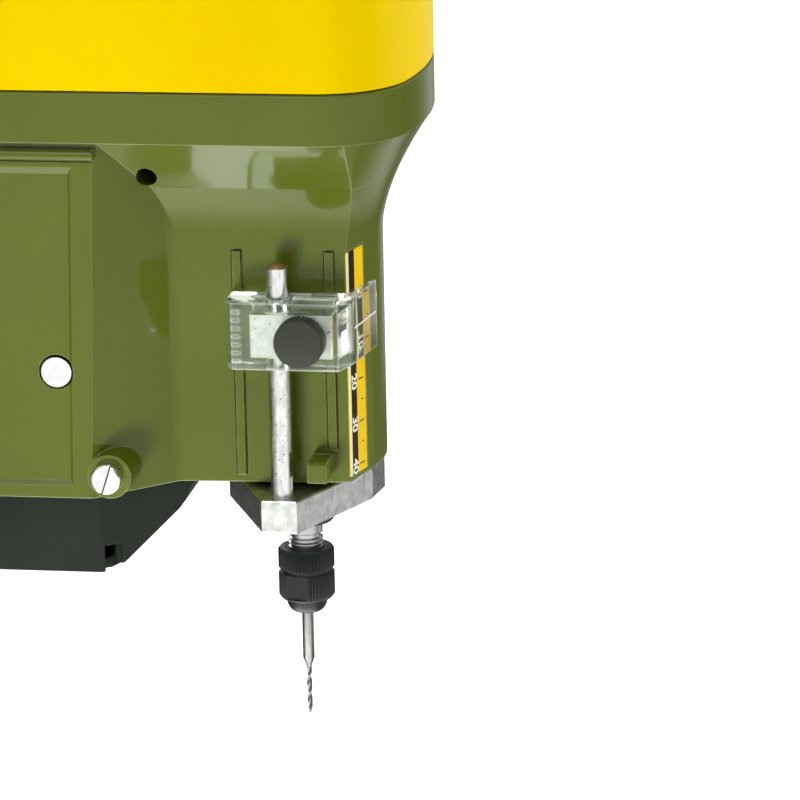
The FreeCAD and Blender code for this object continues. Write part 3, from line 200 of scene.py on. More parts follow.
def castTable(name, millFrom):
    # a casting enamelled all over, then milled bright on what faces up above a height in mm; rings are cutter marks
    material, tree, shader, place = newFinish(name, {})
    peel = addNode(tree, "TexNoise", {"Scale": 480.0, "Detail": 1.0}, {"Vector": place}).outputs[0]
    cutter = addNode(tree, "TexWave", {"wave_type": "RINGS", "rings_direction": "Z", "Scale": 260.0, "Distortion": 1.0,
                                       "Detail": 2.0}, {"Vector": place})
    up = addNode(tree, "SeparateXYZ", None, {0: addNode(tree, "NewGeometry").outputs["Normal"]}).outputs["Z"]
    height = addNode(tree, "SeparateXYZ", None, {0: place}).outputs["Z"]
    flat = addNode(tree, "Math", {"operation": "GREATER_THAN", 1: 0.95}, {0: up})
    onTable = addNode(tree, "Math", {"operation": "GREATER_THAN", 1: millFrom * mm}, {0: height})
    milled = addNode(tree, "Math", {"operation": "MULTIPLY"}, {0: flat.outputs[0], 1: onTable.outputs[0]}).outputs[0]
    metal = addNode(tree, "ValToRGB", {"stops": ((0.35, "#A9ACAB"), (0.65, "#C9CBC9"))}, {"Fac": cutter.outputs["Fac"]})
    paint = addNode(tree, "ValToRGB", {"stops": ((0.35, "#66762F"), (0.65, "#6C7C34"))}, {"Fac": peel})
    colour = addNode(tree, "Mix", {"data_type": "RGBA"}, {0: milled, 6: paint.outputs[0], 7: metal.outputs[0]})
    bright = addNode(tree, "MapRange", {"To Max": 0.65}, {"Value": milled})  # fine cutter marks scatter some light
    gloss = addNode(tree, "MapRange", {"To Min": 0.27, "To Max": 0.48}, {"Value": milled})
    tree.links.new(colour.outputs[2], shader.inputs["Base Color"])
    tree.links.new(bright.outputs[0], shader.inputs["Metallic"])
    tree.links.new(gloss.outputs[0], shader.inputs["Roughness"])
    relief(tree, shader, peel, 0.2, 0.02)
    return material


def clearAcrylic(name):
    # cast acrylic, polished clear: hairline scuffs break up its gloss; its edges are painted pale and less clear, a
    # painted highlight for the light they gather
    material, tree, shader, place = newFinish(name, {"IOR": 1.49})
    scuff = addNode(tree, "TexNoise", {"Scale": 700.0, "Detail": 4.0}, {"Vector": place})
    gloss = addNode(tree, "MapRange", {"To Max": 0.05}, {"Value": scuff.outputs[0]})
    # painted highlight: along its edges the block turns pale and less clear
    edge = edgeMask(tree, 1.0, 0.88, 0.993)
    clear = addNode(tree, "MapRange", {"To Min": 0.97, "To Max": 0.1}, {"Value": edge})
    colour = addNode(tree, "Mix", {"data_type": "RGBA", 6: linear("#F2F7F0"), 7: linear("#F0F6E6")}, {0: edge})
    tree.links.new(gloss.outputs[0], shader.inputs["Roughness"])
    tree.links.new(clear.outputs[0], shader.inputs["Transmission Weight"])
    tree.links.new(colour.outputs[2], shader.inputs["Base Color"])
    return material


def printedFilm(name, colour, rough, tint="#FFFFFF"):
    # screen print under a gloss film: flat ink with the film's faint ripple, 3 mm wide
    material, tree, shader, place = newFinish(name, {"Base Color": linear(colour), "Roughness": rough, "IOR": 1.5,
                                                     "Specular IOR Level": 0.2, "Specular Tint": linear(tint)})
    ripple = addNode(tree, "TexNoise", {"Scale": 300.0, "Detail": 1.0}, {"Vector": place})
    relief(tree, shader, ripple.outputs[0], 0.05, 0.01)
    return material


finish = {
    "enamel": enamel("olive stove enamel", "#5B6717", "#616F1B"),
    "cover": mouldedPlastic("moulded yellow ABS", "#FBD300", "#FFDC00", 0.34, 0.05, 0.2, "#FFD040"),
    "black": mouldedPlastic("spark-grained black polyamide", "#1F241E", "#272D26", 0.5, 0.25, 0.2),
    "knob": mouldedPlastic("satin black phenolic", "#3C4034", "#43473A", 0.45, 0.12, 0.25),
    "rubber": mouldedPlastic("moulded belt rubber", "#1B1B1A", "#242423", 0.6, 0.2),
    "rod": steel("centreless-ground steel", "#C4C5C2", "#F2F3EF", 0.2, (900, 900, 260), 0.75),
    "burntSteel": steel("heat-tinted steel end", "#B08A70", "#D9B89C", 0.4, (500, 500, 500), 0.3),
    "shaft": steel("turned bright steel", "#A5A6A4", "#CFD0CE", 0.24, (60, 60, 2400)),
    "bar": steel("drawn and ground steel bar", "#838482", "#ABACAA", 0.3, (60, 60, 1600)),
    "nickel": steel("bright nickel plate", "#DCDDDB", "#F2F2F0", 0.16, (300, 300, 300)),
    "chrome": steel("polished chrome plate", "#CFD1D2", "#E6E7E8", 0.09, (200, 200, 200)),
    "drill": steel("ground high-speed steel", "#747571", "#A0A19D", 0.3, (1200, 1200, 200)),
    # a dark grey steel tone for the quill
    "quill": steel("dark grey steel", "#454845", "#636663", 0.4, (60, 60, 1800)),
    "blackSteel": steel("blackened steel", "#3A3B3B", "#545555", 0.42, (500, 500, 500)),
    "zinc": steel("zinc-plated pressing", "#8E9294", "#AEB2B3", 0.36, (220, 220, 220)),
    "laminations": steel("stacked steel laminations", "#5A5B5B", "#777877", 0.45, (20, 20, 2800)),
    "oxide": mouldedPlastic("oiled black oxide steel", "#141813", "#20261F", 0.36, 0.2, 0.34),
    # a dark bronze tone for the bushes
    "bronze": steel("dark sintered bronze", "#352B1E", "#54432C", 0.45, (900, 900, 900)),
    "plate": milledAluminium("milled aluminium bar", "#BFC4BE", "#F2F4F0", (900, 900, 130)),
    "block": milledAluminium("sanded aluminium block", "#E4E7E4", "#FCFDFC", (500, 500, 500), 0.5, 0.9, 0.2),
    "turnedAluminium": milledAluminium("turned aluminium", "#A5A7A6", "#CBCDCB", (40, 40, 2600)),
    "table": castTable("enamelled casting with a milled table", 21.8),
    "acrylic": clearAcrylic("polished clear acrylic"),
    "inkYellow": printedFilm("yellow scale ink", "#FFD400", 0.3, "#FFD040"),
    "inkBlack": printedFilm("black scale ink", "#2A1A0E", 0.32),
    "inkCream": printedFilm("cream scale margin", "#FFF6B8", 0.3),
    "inkWhite": printedFilm("white scale ink", "#F8F8F2", 0.3),
}
print("finishes made:", len(finish))


# Helpers that shape a bmesh and turn it into a finished piece
def spunShape(profile, steps=96):
    # a profile of (radius, height) in mm, spun once round Z
    bm = bmesh.new()
    verts = [bm.verts.new((radius * mm, 0, height * mm)) for radius, height in profile]
    edges = [bm.edges.new(pair) for pair in zip(verts, verts[1:])]
    bmesh.ops.spin(bm, geom=verts + edges, axis=(0, 0, 1), angle=2 * math.pi, steps=steps, use_merge=True)
    bmesh.ops.remove_doubles(bm, verts=bm.verts, dist=1e-7)
    return bm


def knurledShape(profile, teeth, depth):
    # rings of (radius, height, knurled) joined upwards; a knurled ring dips by depth between its teeth
    bm = bmesh.new()
    ring = bmesh.ops.create_circle(bm, cap_ends=True, radius=mm, segments=teeth * 4)["verts"]

    def shape(verts, radius, height, knurled):
        for vert in verts:
            quarter = round(math.atan2(vert.co.y, vert.co.x) / (2 * math.pi) * teeth * 4) % 4  # of one tooth
            dip = depth if knurled and quarter in (2, 3) else 0.0
            flat = Vector((vert.co.x, vert.co.y, 0)).normalized() * (radius - dip) * mm
            vert.co = (flat.x, flat.y, height * mm)

    shape(ring, *profile[0])
    edges = list(bm.edges)
    for radius, height, knurled in profile[1:]:
        grown = bmesh.ops.extrude_edge_only(bm, edges=edges)["geom"]
        edges = [g for g in grown if isinstance(g, bmesh.types.BMEdge)]
        shape([g for g in grown if isinstance(g, bmesh.types.BMVert)], radius, height, knurled)
    bmesh.ops.holes_fill(bm, edges=edges)
    return bm


def aimed(bm, foot, axis=(0, 0, 1), turn=0.0):
    # turns a shape made round Z to an axis and moves it to its foot, in mm
    spin = Vector((0, 0, 1)).rotation_difference(Vector(axis)).to_matrix().to_4x4() @ Matrix.Rotation(turn, 4, "Z")
    bmesh.ops.transform(bm, matrix=Matrix.Translation(Vector(foot) * mm) @ spin, verts=bm.verts)
    return bm


def cutBy(piece, cutterShape):
    # takes one shape out of a piece for good
    cutterMesh = bpy.data.meshes.new("cutter")
    cutterShape.to_mesh(cutterMesh)
    cutterShape.free()
    cutter = bpy.data.objects.new("cutter", cutterMesh)
    scene.collection.objects.link(cutter)
    saw = piece.modifiers.new("cut", "BOOLEAN")
    saw.object = cutter
    saw.solver = "EXACT"
    saw.use_self = True
    bpy.context.view_layer.update()
    result = bpy.data.meshes.new_from_object(piece.evaluated_get(bpy.context.evaluated_depsgraph_get()))
    piece.modifiers.remove(saw)
    piece.data = result
    bpy.data.objects.remove(cutter)


def newPiece(bm, name, body, finishName, replaced=(), smooth=32, cutter=None):
    bmesh.ops.remove_doubles(bm, verts=bm.verts, dist=1e-7)
    bmesh.ops.recalc_face_normals(bm, faces=bm.faces)
    mesh = bpy.data.meshes.new(name)
    bm.to_mesh(mesh)
    bm.free()
    mesh.materials.append(finish[finishName])
    piece = bpy.data.objects.new(name, mesh)
    scene.collection.objects.link(piece)
    if cutter:
        cutBy(piece, cutter)
    piece.data.shade_smooth()
    piece.data.set_sharp_from_angle(angle=math.radians(smooth))
    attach(piece, body)
    if replaced:
        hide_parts(*replaced)
    return piece


def addBox(bm, low, high):
    # a plain block between two corners, in mm
    size = [b - a for a, b in zip(low, high)]
    middle = Vector([(a + b) / 2 for a, b in zip(low, high)]) * mm
    grow = Matrix.Diagonal([s * mm for s in size] + [1.0])
    bmesh.ops.create_cube(bm, size=1.0, matrix=Matrix.Translation(middle) @ grow)


# Carried-over parts whose shape is right
nodeFinish = {
    "base_table": "table", "column": "bar", "column_rack": "blackSteel", "column_cap": "black",
    "column_set_screws": "blackSteel", "head_casting": "enamel", "bottom_cover": "black",
    "bottom_cover_screws": "blackSteel", "depth_scale_strip": "inkYellow", "motor_can": "zinc",
    "motor_screws": "zinc", "motor_shaft": "shaft", "motor_armature": "laminations", "motor_fan": "black",
    "spindle_pulley": "turnedAluminium", "pulley_bearing": "nickel", "motor_pulley": "turnedAluminium",
    "motor_pulley_grub": "blackSteel", "drive_belt": "rubber", "belt_cover": "cover", "cover_knob": "knob",
    "quill_sleeve": "quill", "quill_bearings": "nickel", "stop_plate": "plate", "stop_plate_screw": "blackSteel",
    "depth_rod": "rod", "depth_slider": "acrylic", "slider_clamp_block": "block", "slider_thumb_screw": "knob",
    "spindle_shaft": "shaft", "collet": "shaft", "collet_nut": "oxide", "drill_bit": "chrome",
    "sector_gear": "blackSteel", "feed_shaft": "nickel", "feed_shaft_bushes": "bronze", "feed_hub": "black",
    "feed_lever_rod": "chrome", "feed_lever_ball": "knob", "return_spring": "shaft", "crank_shaft": "blackSteel",
    "crank_bush": "bronze", "crank_arm": "plate", "crank_pin": "chrome", "crank_handle": "knob",
    "clamp_screw": "blackSteel", "clamp_lever": "knob", "side_lock_screw": "nickel", "switch_bezel": "black",
    "switch_rocker": "black", "cable_gland": "black",
}
for nodeName, finishName in nodeFinish.items():
    for place in nodes[nodeName].material_slots:
        place.material = finish[finishName]
print("carried-over parts painted:", len(nodeFinish))

# Thumb screw: fine straight knurl, flat face
thumbScrew = {"foot": (-33.3, -64.5, seamZ - 56.6), "radius": 5.75, "thickness": 5.2, "teeth": 54, "depth": 0.42}
t = thumbScrew
bm = knurledShape([(1.5, -8.5, False), (1.5, 0, False), (t["radius"] - 0.5, 0, False), (t["radius"], 0.45, True),
                   (t["radius"], t["thickness"] - 0.35, True), (t["radius"] - 0.28, t["thickness"] - 0.1, False),
                   (t["radius"] - 0.5, t["thickness"], False)], t["teeth"], t["depth"])
newPiece(aimed(bm, t["foot"], (-1, 0, 0)), "thumbScrew", "stop_screw", "knob", ["slider_thumb_screw"], 40)
print("thumb screw made")

# Depth rod: ground bar with a turned, heat-tinted cone at its top
rodSet = {"radius": 2.6, "low": seamZ - 102.8, "top": seamZ - 40.4, "cone": 1.15, "tip": 1.1}


def makeRod(r):
    foot = (-27.5, -58, 0)
    shoulder = r["top"] - r["cone"]
    bar = [(0, r["low"]), (r["radius"], r["low"]), (r["radius"], shoulder), (r["radius"] - 0.05, shoulder + 0.05),
           (0, shoulder + 0.05)]
    cone = [(r["radius"] - 0.03, shoulder + 0.03), (r["radius"] - 0.22, shoulder + 0.2), (r["tip"], r["top"] - 0.08),
            (r["tip"] - 0.3, r["top"]), (0, r["top"])]
    newPiece(aimed(spunShape(bar, 64), foot), "depthRod", "quill", "rod", ["depth_rod"], 30)
    newPiece(aimed(spunShape(cone, 64), foot), "depthRodEnd", "quill", "burntSteel", (), 30)


makeRod(rodSet)
print("depth rod made")

# Side lock screw: a slotted nickel-plated cheese head in its boss
# the last entry is the width in mm of a dark strip of painted shade in the slot
lockSet = {"foot": (-38.5, -19.7, seamZ - 88.7), "radius": 3.55, "head": 2.8, "slot": 0.75, "deep": 0.9, "turn": -18,
           "paintedSlotShade": 0.36}


def makeLockScrew(k):
    r, h = k["radius"], k["head"]
    head = [(0, -8.5), (1.9, -8.5), (1.9, 0), (r, 0), (r, h - 0.55), (r - 0.16, h - 0.2), (r - 0.5, h), (0, h)]
    slot = bmesh.new()
    addBox(slot, (-r - 1, -k["slot"] / 2, h - k["deep"]), (r + 1, k["slot"] / 2, h + 1))
    turn = math.radians(k["turn"])
    newPiece(aimed(spunShape(head, 72), k["foot"], (-1, 0, 0)), "lockScrew", "head", "nickel", ["side_lock_screw"], 30,
             aimed(slot, k["foot"], (-1, 0, 0), turn))
    paintedSlotShade = bmesh.new()  # painted shade: a dark strip along one side of the slot's floor, where the slot's wall would shade it
    addBox(paintedSlotShade, (-r + 0.1, -k["slot"] / 2, h - k["deep"] - 0.05), (r - 0.1, -k["slot"] / 2 + k["paintedSlotShade"], h - 0.3))
    newPiece(aimed(paintedSlotShade, k["foot"], (-1, 0, 0), turn), "lockScrewSlotShade", "head", "oxide", (), 30)


makeLockScrew(lockSet)
print("lock screw made")

# Grips on the far side: plain turned mouldings. Profiles are (radius, height) from the foot in mm
lever = {"hub": (43.5, -7.7, seamZ - 65.4), "rise": math.radians(60), "splay": math.radians(8), "length": 96.0}
leverWay = (math.sin(lever["splay"]), -math.cos(lever["splay"]) * math.cos(lever["rise"]),
            math.cos(lever["splay"]) * math.sin(lever["rise"]))
leverEnd = tuple(a + b * lever["length"] for a, b in zip(lever["hub"], leverWay))
feedBall = {"foot": leverEnd, "way": leverWay,
            "profile": [(3.5, 0.3), (4.3, 0), (4.9, 0.35), (5.5, 1.5), (6.6, 3.2), (8.0, 5.4), (9.0, 8.0), (9.5, 10.8),
                        (9.3, 13.4), (8.4, 16.2), (6.9, 18.6), (5.0, 20.2), (2.6, 21.0), (0, 21.2)]}
crankGrip = {"foot": (43.6, 66.4, seamZ - 111.0), "way": (1, 0, 0),
             "profile": [(2.56, 0), (4.9, 0), (5.2, 0.3), (5.5, 0.9), (6.1, 2.2), (6.7, 5.0), (7.1, 8.5), (7.2, 12.0),
                         (7.1, 15.5), (6.7, 19.0), (6.1, 22.2), (5.6, 24.0), (5.0, 24.8), (4.4, 25.0), (2.56, 25.0),
                         (2.56, 0)]}
for g, name, body, node in ((feedBall, "feedBall", "feed", "feed_lever_ball"),
                            (crankGrip, "crankGrip", "crank_grip", "crank_handle")):
    bm = spunShape(g["profile"], 72)
    newPiece(aimed(bm, g["foot"], g["way"]), name, body, "knob", [node], 40)
print("grips made")

# Cover knob: twelve shallow flutes round a low dome
coverKnob = {"foot": (0, -14, seamZ + 45.0), "radius": 10.9, "flutes": 12, "depth": 0.7}
k = coverKnob
bm = knurledShape([(2.5, -17, False), (2.5, 0.3, False), (5.9, 0.3, False), (5.9, 2.0, False), (10.3, 2.0, False),
                   (k["radius"], 2.6, True), (k["radius"], 7.4, True), (10.3, 8.5, True), (9.4, 8.95, False),
                   (8.0, 9.0, False), (7.4, 8.6, False), (0.5, 8.6, False)], k["flutes"] * 2, k["depth"])
newPiece(aimed(bm, k["foot"]), "coverKnob", "cover_screw", "knob", ["cover_knob"], 32)
print("cover knob made")

# Collet nut: two knurled bands with a groove between them, spanner flats on the lower one
colletNut = {"radius": 6.6, "teeth": 52, "depth": 0.45, "top": seamZ - 115.6, "low": seamZ - 132.1,
             "groove": seamZ - 121.2, "flatReach": 5.7, "flatTurn": -14}


def makeColletNut(n):
    r, top, groove, low = n["radius"], n["top"], n["groove"], n["low"]
    rings = [(2.6, low + 2.6, False), (2.6, low + 0.7, False), (2.9, low + 0.62, False), (3.45, low + 0.85, False),
             (3.95, low + 1.25, False), (4.35, low + 1.8, False), (4.65, low + 2.5, False), (4.82, low + 3.3, False),
             (4.9, low + 3.9, False), (5.75, low + 3.95, False), (6.1, low + 4.25, False),
             (r, low + 5.0, True), (r, groove - 0.75, True), (r - 0.35, groove - 0.5, False),
             (r - 0.7, groove - 0.4, False), (r - 0.7, groove + 0.4, False), (r - 0.35, groove + 0.5, False),
             (r, groove + 0.75, True), (r, top - 0.7, True), (r - 0.45, top - 0.1, False), (r - 0.8, top, False),
             (4.2, top, False), (4.2, top - 4.6, False)]
    bm = knurledShape(rings, n["teeth"], n["depth"])
    flats = bmesh.new()
    for side in (0, 180):
        part = bmesh.new()
        addBox(part, (-r - 2, -8, low + 4.6), (-n["flatReach"], 8, groove - 0.55))
        part.transform(Matrix.Rotation(math.radians(side + n["flatTurn"]), 4, "Z"))
        mesh = bpy.data.meshes.new("flat")
        part.to_mesh(mesh)
        part.free()
        flats.from_mesh(mesh)
    aimed(flats, spindleFoot)
    newPiece(aimed(bm, spindleFoot), "colletNut", "spindle", "oxide", ["collet_nut"], 40, flats)


makeColletNut(colletNut)
print("collet nut made")

# Spindle: bright neck, a fine thread above the nut and the long shaft up to the pulley
spindleSet = {"threadTop": seamZ - 112.5, "threadLow": seamZ - 119.0, "pitch": 1.0, "crest": 4.1, "root": 3.45,
              "neck": 4.0, "shaft": 3.0}


def makeSpindle(s):
    profile = [(0, s["threadLow"] + 10.5), (2.55, s["threadLow"] + 10.5), (2.55, s["threadLow"]), (3.3, s["threadLow"])]
    z = s["threadLow"]
    while z + s["pitch"] <= s["threadTop"] + 0.01:
        profile += [(s["root"], z + 0.1), (s["crest"], z + 0.42), (s["crest"], z + 0.58), (s["root"], z + 0.9)]
        z += s["pitch"]
    neck, shaft, top = s["neck"], s["shaft"], seamZ + 36.5
    profile += [(s["root"], s["threadTop"] + 0.25), (neck - 0.15, s["threadTop"] + 0.35), (neck, s["threadTop"] + 0.5),
                (neck, seamZ - 103), (shaft, seamZ - 103), (shaft, top - 0.5), (shaft - 0.4, top), (0, top)]
    newPiece(aimed(spunShape(profile, 64), spindleFoot), "spindleShaft", "spindle", "shaft", ["spindle_shaft"], 30)


makeSpindle(spindleSet)
print("spindle made")

# Drill: plain shank, short cone, two twisted flutes and a split point
drillSet = {"tip": seamZ - 157, "fluteTop": seamZ - 145.6, "shankLow": seamZ - 143.2, "shankTop": seamZ - 112,
            "radius": 0.62, "shank": 1.36, "gripped": 1.25, "grip": seamZ - 130.1, "pitch": 8.4, "web": 0.14,
            "point": 0.35, "buried": 1.2}


def makeDrill(d):
    shank = [(0, d["fluteTop"]), (0.58, d["fluteTop"]), (0.66, d["fluteTop"] + 0.5), (d["shank"], d["shankLow"]),
             (d["shank"], d["grip"] - 0.1), (d["gripped"], d["grip"]), (d["gripped"], d["shankTop"] - 0.3),
             (d["gripped"] - 0.3, d["shankTop"]), (0, d["shankTop"])]
    newPiece(aimed(spunShape(shank, 48), spindleFoot), "drillShank", "spindle", "drill", ["drill_bit"], 30)
    bm = bmesh.new()
    ring = bmesh.ops.create_circle(bm, cap_ends=True, radius=d["radius"] * mm, segments=28)["verts"]
    for vert in ring:
        bite = abs(vert.co.y) / (d["radius"] * mm)  # 1 in the middle of a flute
        if bite > 0.45:
            deep = min(1.0, (bite - 0.45) / 0.4)
            vert.co.y *= 1 - deep * (1 - d["web"] / d["radius"])
            vert.co.x *= 1 - 0.35 * deep
    low = d["tip"] + d["point"]
    length = d["fluteTop"] + d["buried"] - low
    turns = 2 * math.pi * length / d["pitch"]
    steps = 96
    bmesh.ops.spin(bm, geom=list(bm.faces) + list(bm.edges) + list(bm.verts), axis=(0, 0, 1), angle=turns, steps=steps,
                   dvec=(0, 0, length / steps * mm))
    bmesh.ops.translate(bm, verts=bm.verts, vec=(0, 0, low * mm))
    foot = [v for v in bm.verts if v.co.z < (low + 0.01) * mm]
    footFace = [f for f in bm.faces if all(v in foot for v in f.verts)]
    grown = bmesh.ops.extrude_face_region(bm, geom=footFace)["geom"]
    point = [g for g in grown if isinstance(g, bmesh.types.BMVert)]
    bmesh.ops.scale(bm, verts=point, vec=(0.25, 0.8, 1), space=Matrix.Identity(4))
    bmesh.ops.translate(bm, verts=point, vec=(0, 0, -d["point"] * mm))
    newPiece(aimed(bm, spindleFoot), "drillFlutes", "spindle", "drill", (), 28)


makeDrill(drillSet)
print("drill made")

# Depth stop: a clear block on the rod, with a tongue that wraps forward over the scale
sliderSet = {"low": seamZ - 64.35, "top": seamZ - 48.6, "edge": 0.45, "ribs": 7, "ribDepth": 0.2,
             "plan": [(-11.6, 22.1), (-11.6, 29.8), (-9.8, 33.0), (14.8, 33.0), (17.0, 26.5), (19.7, 8.7), (18.7, 8.5),
                      (15.4, 21.3), (14.9, 22.1)],
             "slots": [(3.6, 13.6, 27.0), (2.4, 7.0, 23.9), (-6.0, -2.6, 26.3)], "slotHalf": 0.75, "slotDepth": 1.6,
             "pocket": ((-31.45, -71.05, seamZ - 61.55), (-20.0, -52.35, seamZ - 51.55)),
             "rodHole": (2.67, (-27.5, -58, seamZ - 56)), "screwHole": (1.85, (-33.0, -64.5, seamZ - 56.6)),
             "hairline": ((1.5, -0.02, seamZ - 56.15), (17.1, 0.02, seamZ - 55.75))}


def makeSlider(s):
    bm = bmesh.new()
    verts = [bm.verts.new((-out * mm, (-58 - ahead) * mm, s["low"] * mm)) for ahead, out in s["plan"]]
    face = bm.faces.new(verts)
    grown = bmesh.ops.extrude_face_region(bm, geom=[face])["geom"]
    bmesh.ops.translate(bm, verts=[g for g in grown if isinstance(g, bmesh.types.BMVert)],
                        vec=(0, 0, (s["top"] - s["low"]) * mm))
    bmesh.ops.recalc_face_normals(bm, faces=bm.faces)
    bmesh.ops.bevel(bm, geom=list(bm.edges), offset=s["edge"] * mm, offset_type="OFFSET", affect="EDGES", segments=2,
                    profile=0.5, material=-1, clamp_overlap=True)
    cutter = bmesh.new()
    addBox(cutter, *s["pocket"])
    for (radius, middle), length, sides, turn in ((s["rodHole"], 30, 48, 0), (s["screwHole"], 8, 32, math.pi / 2)):
        way = Matrix.Translation(Vector(middle) * mm) @ Matrix.Rotation(turn, 4, "Y")
        bmesh.ops.create_cone(cutter, cap_ends=True, radius1=radius * mm, radius2=radius * mm, depth=length * mm,
                              segments=sides, matrix=way)
    pitch = (s["top"] - s["low"] - 2.4) / s["ribs"]
    for k in range(s["ribs"]):  # finger grooves in the rear corner of its face
        z = s["low"] + 1.2 + pitch * (k + 0.5)
        addBox(cutter, (-36.0, -58 + 7.8, z - pitch * 0.2), (-33.0 + s["ribDepth"], -58 + 10.2, z + pitch * 0.2))
    for start, end, out in s["slots"]:
        addBox(cutter, (-out - s["slotHalf"], -58 - end, s["top"] - s["slotDepth"]),
               (-out + s["slotHalf"], -58 - start, s["top"] + 1))
    newPiece(bm, "depthSlider", "depth_stop", "acrylic", ["depth_slider"], 30, cutter)
    (ahead, out), (tipAhead, tipOut) = s["plan"][4:6]  # the tongue's outer face runs between these two corners
    line = bmesh.new()  # the hairline across the tongue, its reading edge
    addBox(line, *s["hairline"])
    tilt = Matrix.Rotation(-math.atan2(tipAhead - ahead, out - tipOut), 4, "Z")
    bmesh.ops.transform(line, matrix=Matrix.Translation(Vector((-out, -58 - ahead, 0)) * mm) @ tilt, verts=line.verts)
    newPiece(line, "sliderHairline", "depth_stop", "inkWhite", (), 30)


makeSlider(sliderSet)
print("depth stop made")

# Depth scale: printed margins, ticks every 5 mm and numbers every 10 mm, on the strip
scaleSet = {"corner": (14.9, 21.0), "end": (18.3, 8.7), "low": seamZ - 92.4, "top": seamZ - 39.6, "zero": seamZ - 50.4,
            "step": 10.05, "numbers": ["0", "10", "20", "30", "40"], "lift": -0.1, "cream": 1.3, "black": 4.3,
            "wide": 8.97, "letter": 3.7, "bold": 0.11, "ink": 0.012, "tickHalf": 0.16,
            "ticks": [(0.2, 0.75), (0.5, 0.7)]}  # long and short ones, as shares of the yellow's width


def scaleMatrix(s):
    # local X runs forward along the flat corner, Y runs up, Z stands out of it
    start = Vector((-s["corner"][1], -58 - s["corner"][0], 0))
    along = (Vector((-s["end"][1], -58 - s["end"][0], 0)) - start).normalized()
    out = Vector((0, 0, 1)).cross(along)
    if out.x > 0:
        out = -out
    turn = Matrix((along, Vector((0, 0, 1)), out)).transposed().to_4x4()
    return Matrix.Translation((start + out * s["lift"]) * mm) @ turn


def printedBars(name, bars, finishName, s):
    bm = bmesh.new()
    for x0, x1, z0, z1 in bars:
        addBox(bm, (x0, z0, -0.02), (x1, z1, s["ink"]))
    bmesh.ops.transform(bm, matrix=scaleMatrix(s), verts=bm.verts)
    return newPiece(bm, name, "head", finishName, (), 30)


def makeScale(s):
    printedBars("scaleMargin", [(0.05, s["cream"], s["low"], s["top"])], "inkCream", s)
    printedBars("scaleBand", [(s["cream"], s["black"], s["low"], s["top"])], "inkBlack", s)
    ticks = []
    yellow = s["wide"] - s["black"]
    for k in range(len(s["numbers"]) * 2 - 1):
        z = s["zero"] - s["step"] / 2 * k
        start, end = s["ticks"][k % 2]
        ticks.append((s["black"] + yellow * start, s["black"] + yellow * end, z - s["tickHalf"], z + s["tickHalf"]))
    printedBars("scaleTicks", ticks, "inkBlack", s)
    bm = bmesh.new()
    for k, words in enumerate(s["numbers"]):
        curve = bpy.data.curves.new("number", "FONT")
        curve.body = words
        curve.size = s["letter"] * mm
        curve.offset = s["bold"] * mm
        curve.align_x = "CENTER"
        curve.align_y = "CENTER"
        holder = bpy.data.objects.new("number", curve)
        scene.collection.objects.link(holder)
        bpy.context.view_layer.update()
        mesh = bpy.data.meshes.new_from_object(holder.evaluated_get(bpy.context.evaluated_depsgraph_get()))
        bpy.data.objects.remove(holder)
        middle = Vector(((s["cream"] + s["black"]) / 2, s["zero"] - s["step"] * k, 0.03)) * mm
        mesh.transform(Matrix.Translation(middle) @ Matrix.Rotation(-math.pi / 2, 4, "Z"))
        bm.from_mesh(mesh)
    bmesh.ops.transform(bm, matrix=scaleMatrix(s), verts=bm.verts)
    newPiece(bm, "scaleNumbers", "head", "inkWhite", (), 30)


makeScale(scaleSet)
print("depth scale printed")

# Studio: white floor and room, a low small lamp from the left rear, soft light above, and a card under the head.
# Shiny parts mirror the floor bright close by, and dim further off apart from a few bright windows in it.
studio = {"floor": 14.0, "white": 0.78, "near": 3.1, "dim": 0.28, "dark": 0.07, "ambient": 0.16, "horizon": 0.14,
          "above": 0.9, "aim": (0, -0.03, 0.24), "card": ((0.12, 0.15), (0, -0.03, 0.03), 0.29),
          "dimSpan": (-85, 118, 16), "nearSpan": (-57, 72, 9),  # bearings in degrees forward of the left, softness
          "windows": [(0.92, -38, 84, 20, 0.36, 20), (0.85, 112, 131, 7, 0.36, 0.85), (0.45, 160, 178, 8, 0.75, 20),
                      (0.6, 132, 172, 12, 0.15, 0.5)],  # strength, bearings, their softness, reach from and to
          "lamps": [("lowKey", (-0.40, 0.055, 0.03), 0.12, 1.5, False),  # name, place, size, power, seen in mirrors
                    ("topSoft", (-0.75, -0.1, 1.25), 0.9, 5.6, True),
                    ("frontFill", (0.66, -1.16, 0.46), 0.7, 13.0, False),
                    ("farFill", (1.1, 0.7, 0.9), 0.9, 5.5, True)]}


def seenBy(tree, names):
    # 1 for the kinds of ray that are named
    path = addNode(tree, "LightPath")
    seen = path.outputs[names[0]]
    for name in names[1:]:
        seen = addNode(tree, "Math", {"operation": "MAXIMUM"}, {0: seen, 1: path.outputs[name]}).outputs[0]
    return seen


def band(tree, value, low, high, soft, top=1.0):
    # top between low and high, fading to nothing over the soft width on either side of both
    rise = addNode(tree, "MapRange", {"From Min": low - soft, "From Max": low + soft, "To Max": top}, {"Value": value})
    fall = addNode(tree, "MapRange", {"From Min": high + soft, "From Max": high - soft}, {"Value": value})
    return addNode(tree, "Math", {"operation": "MULTIPLY"}, {0: rise.outputs[0], 1: fall.outputs[0]}).outputs[0]


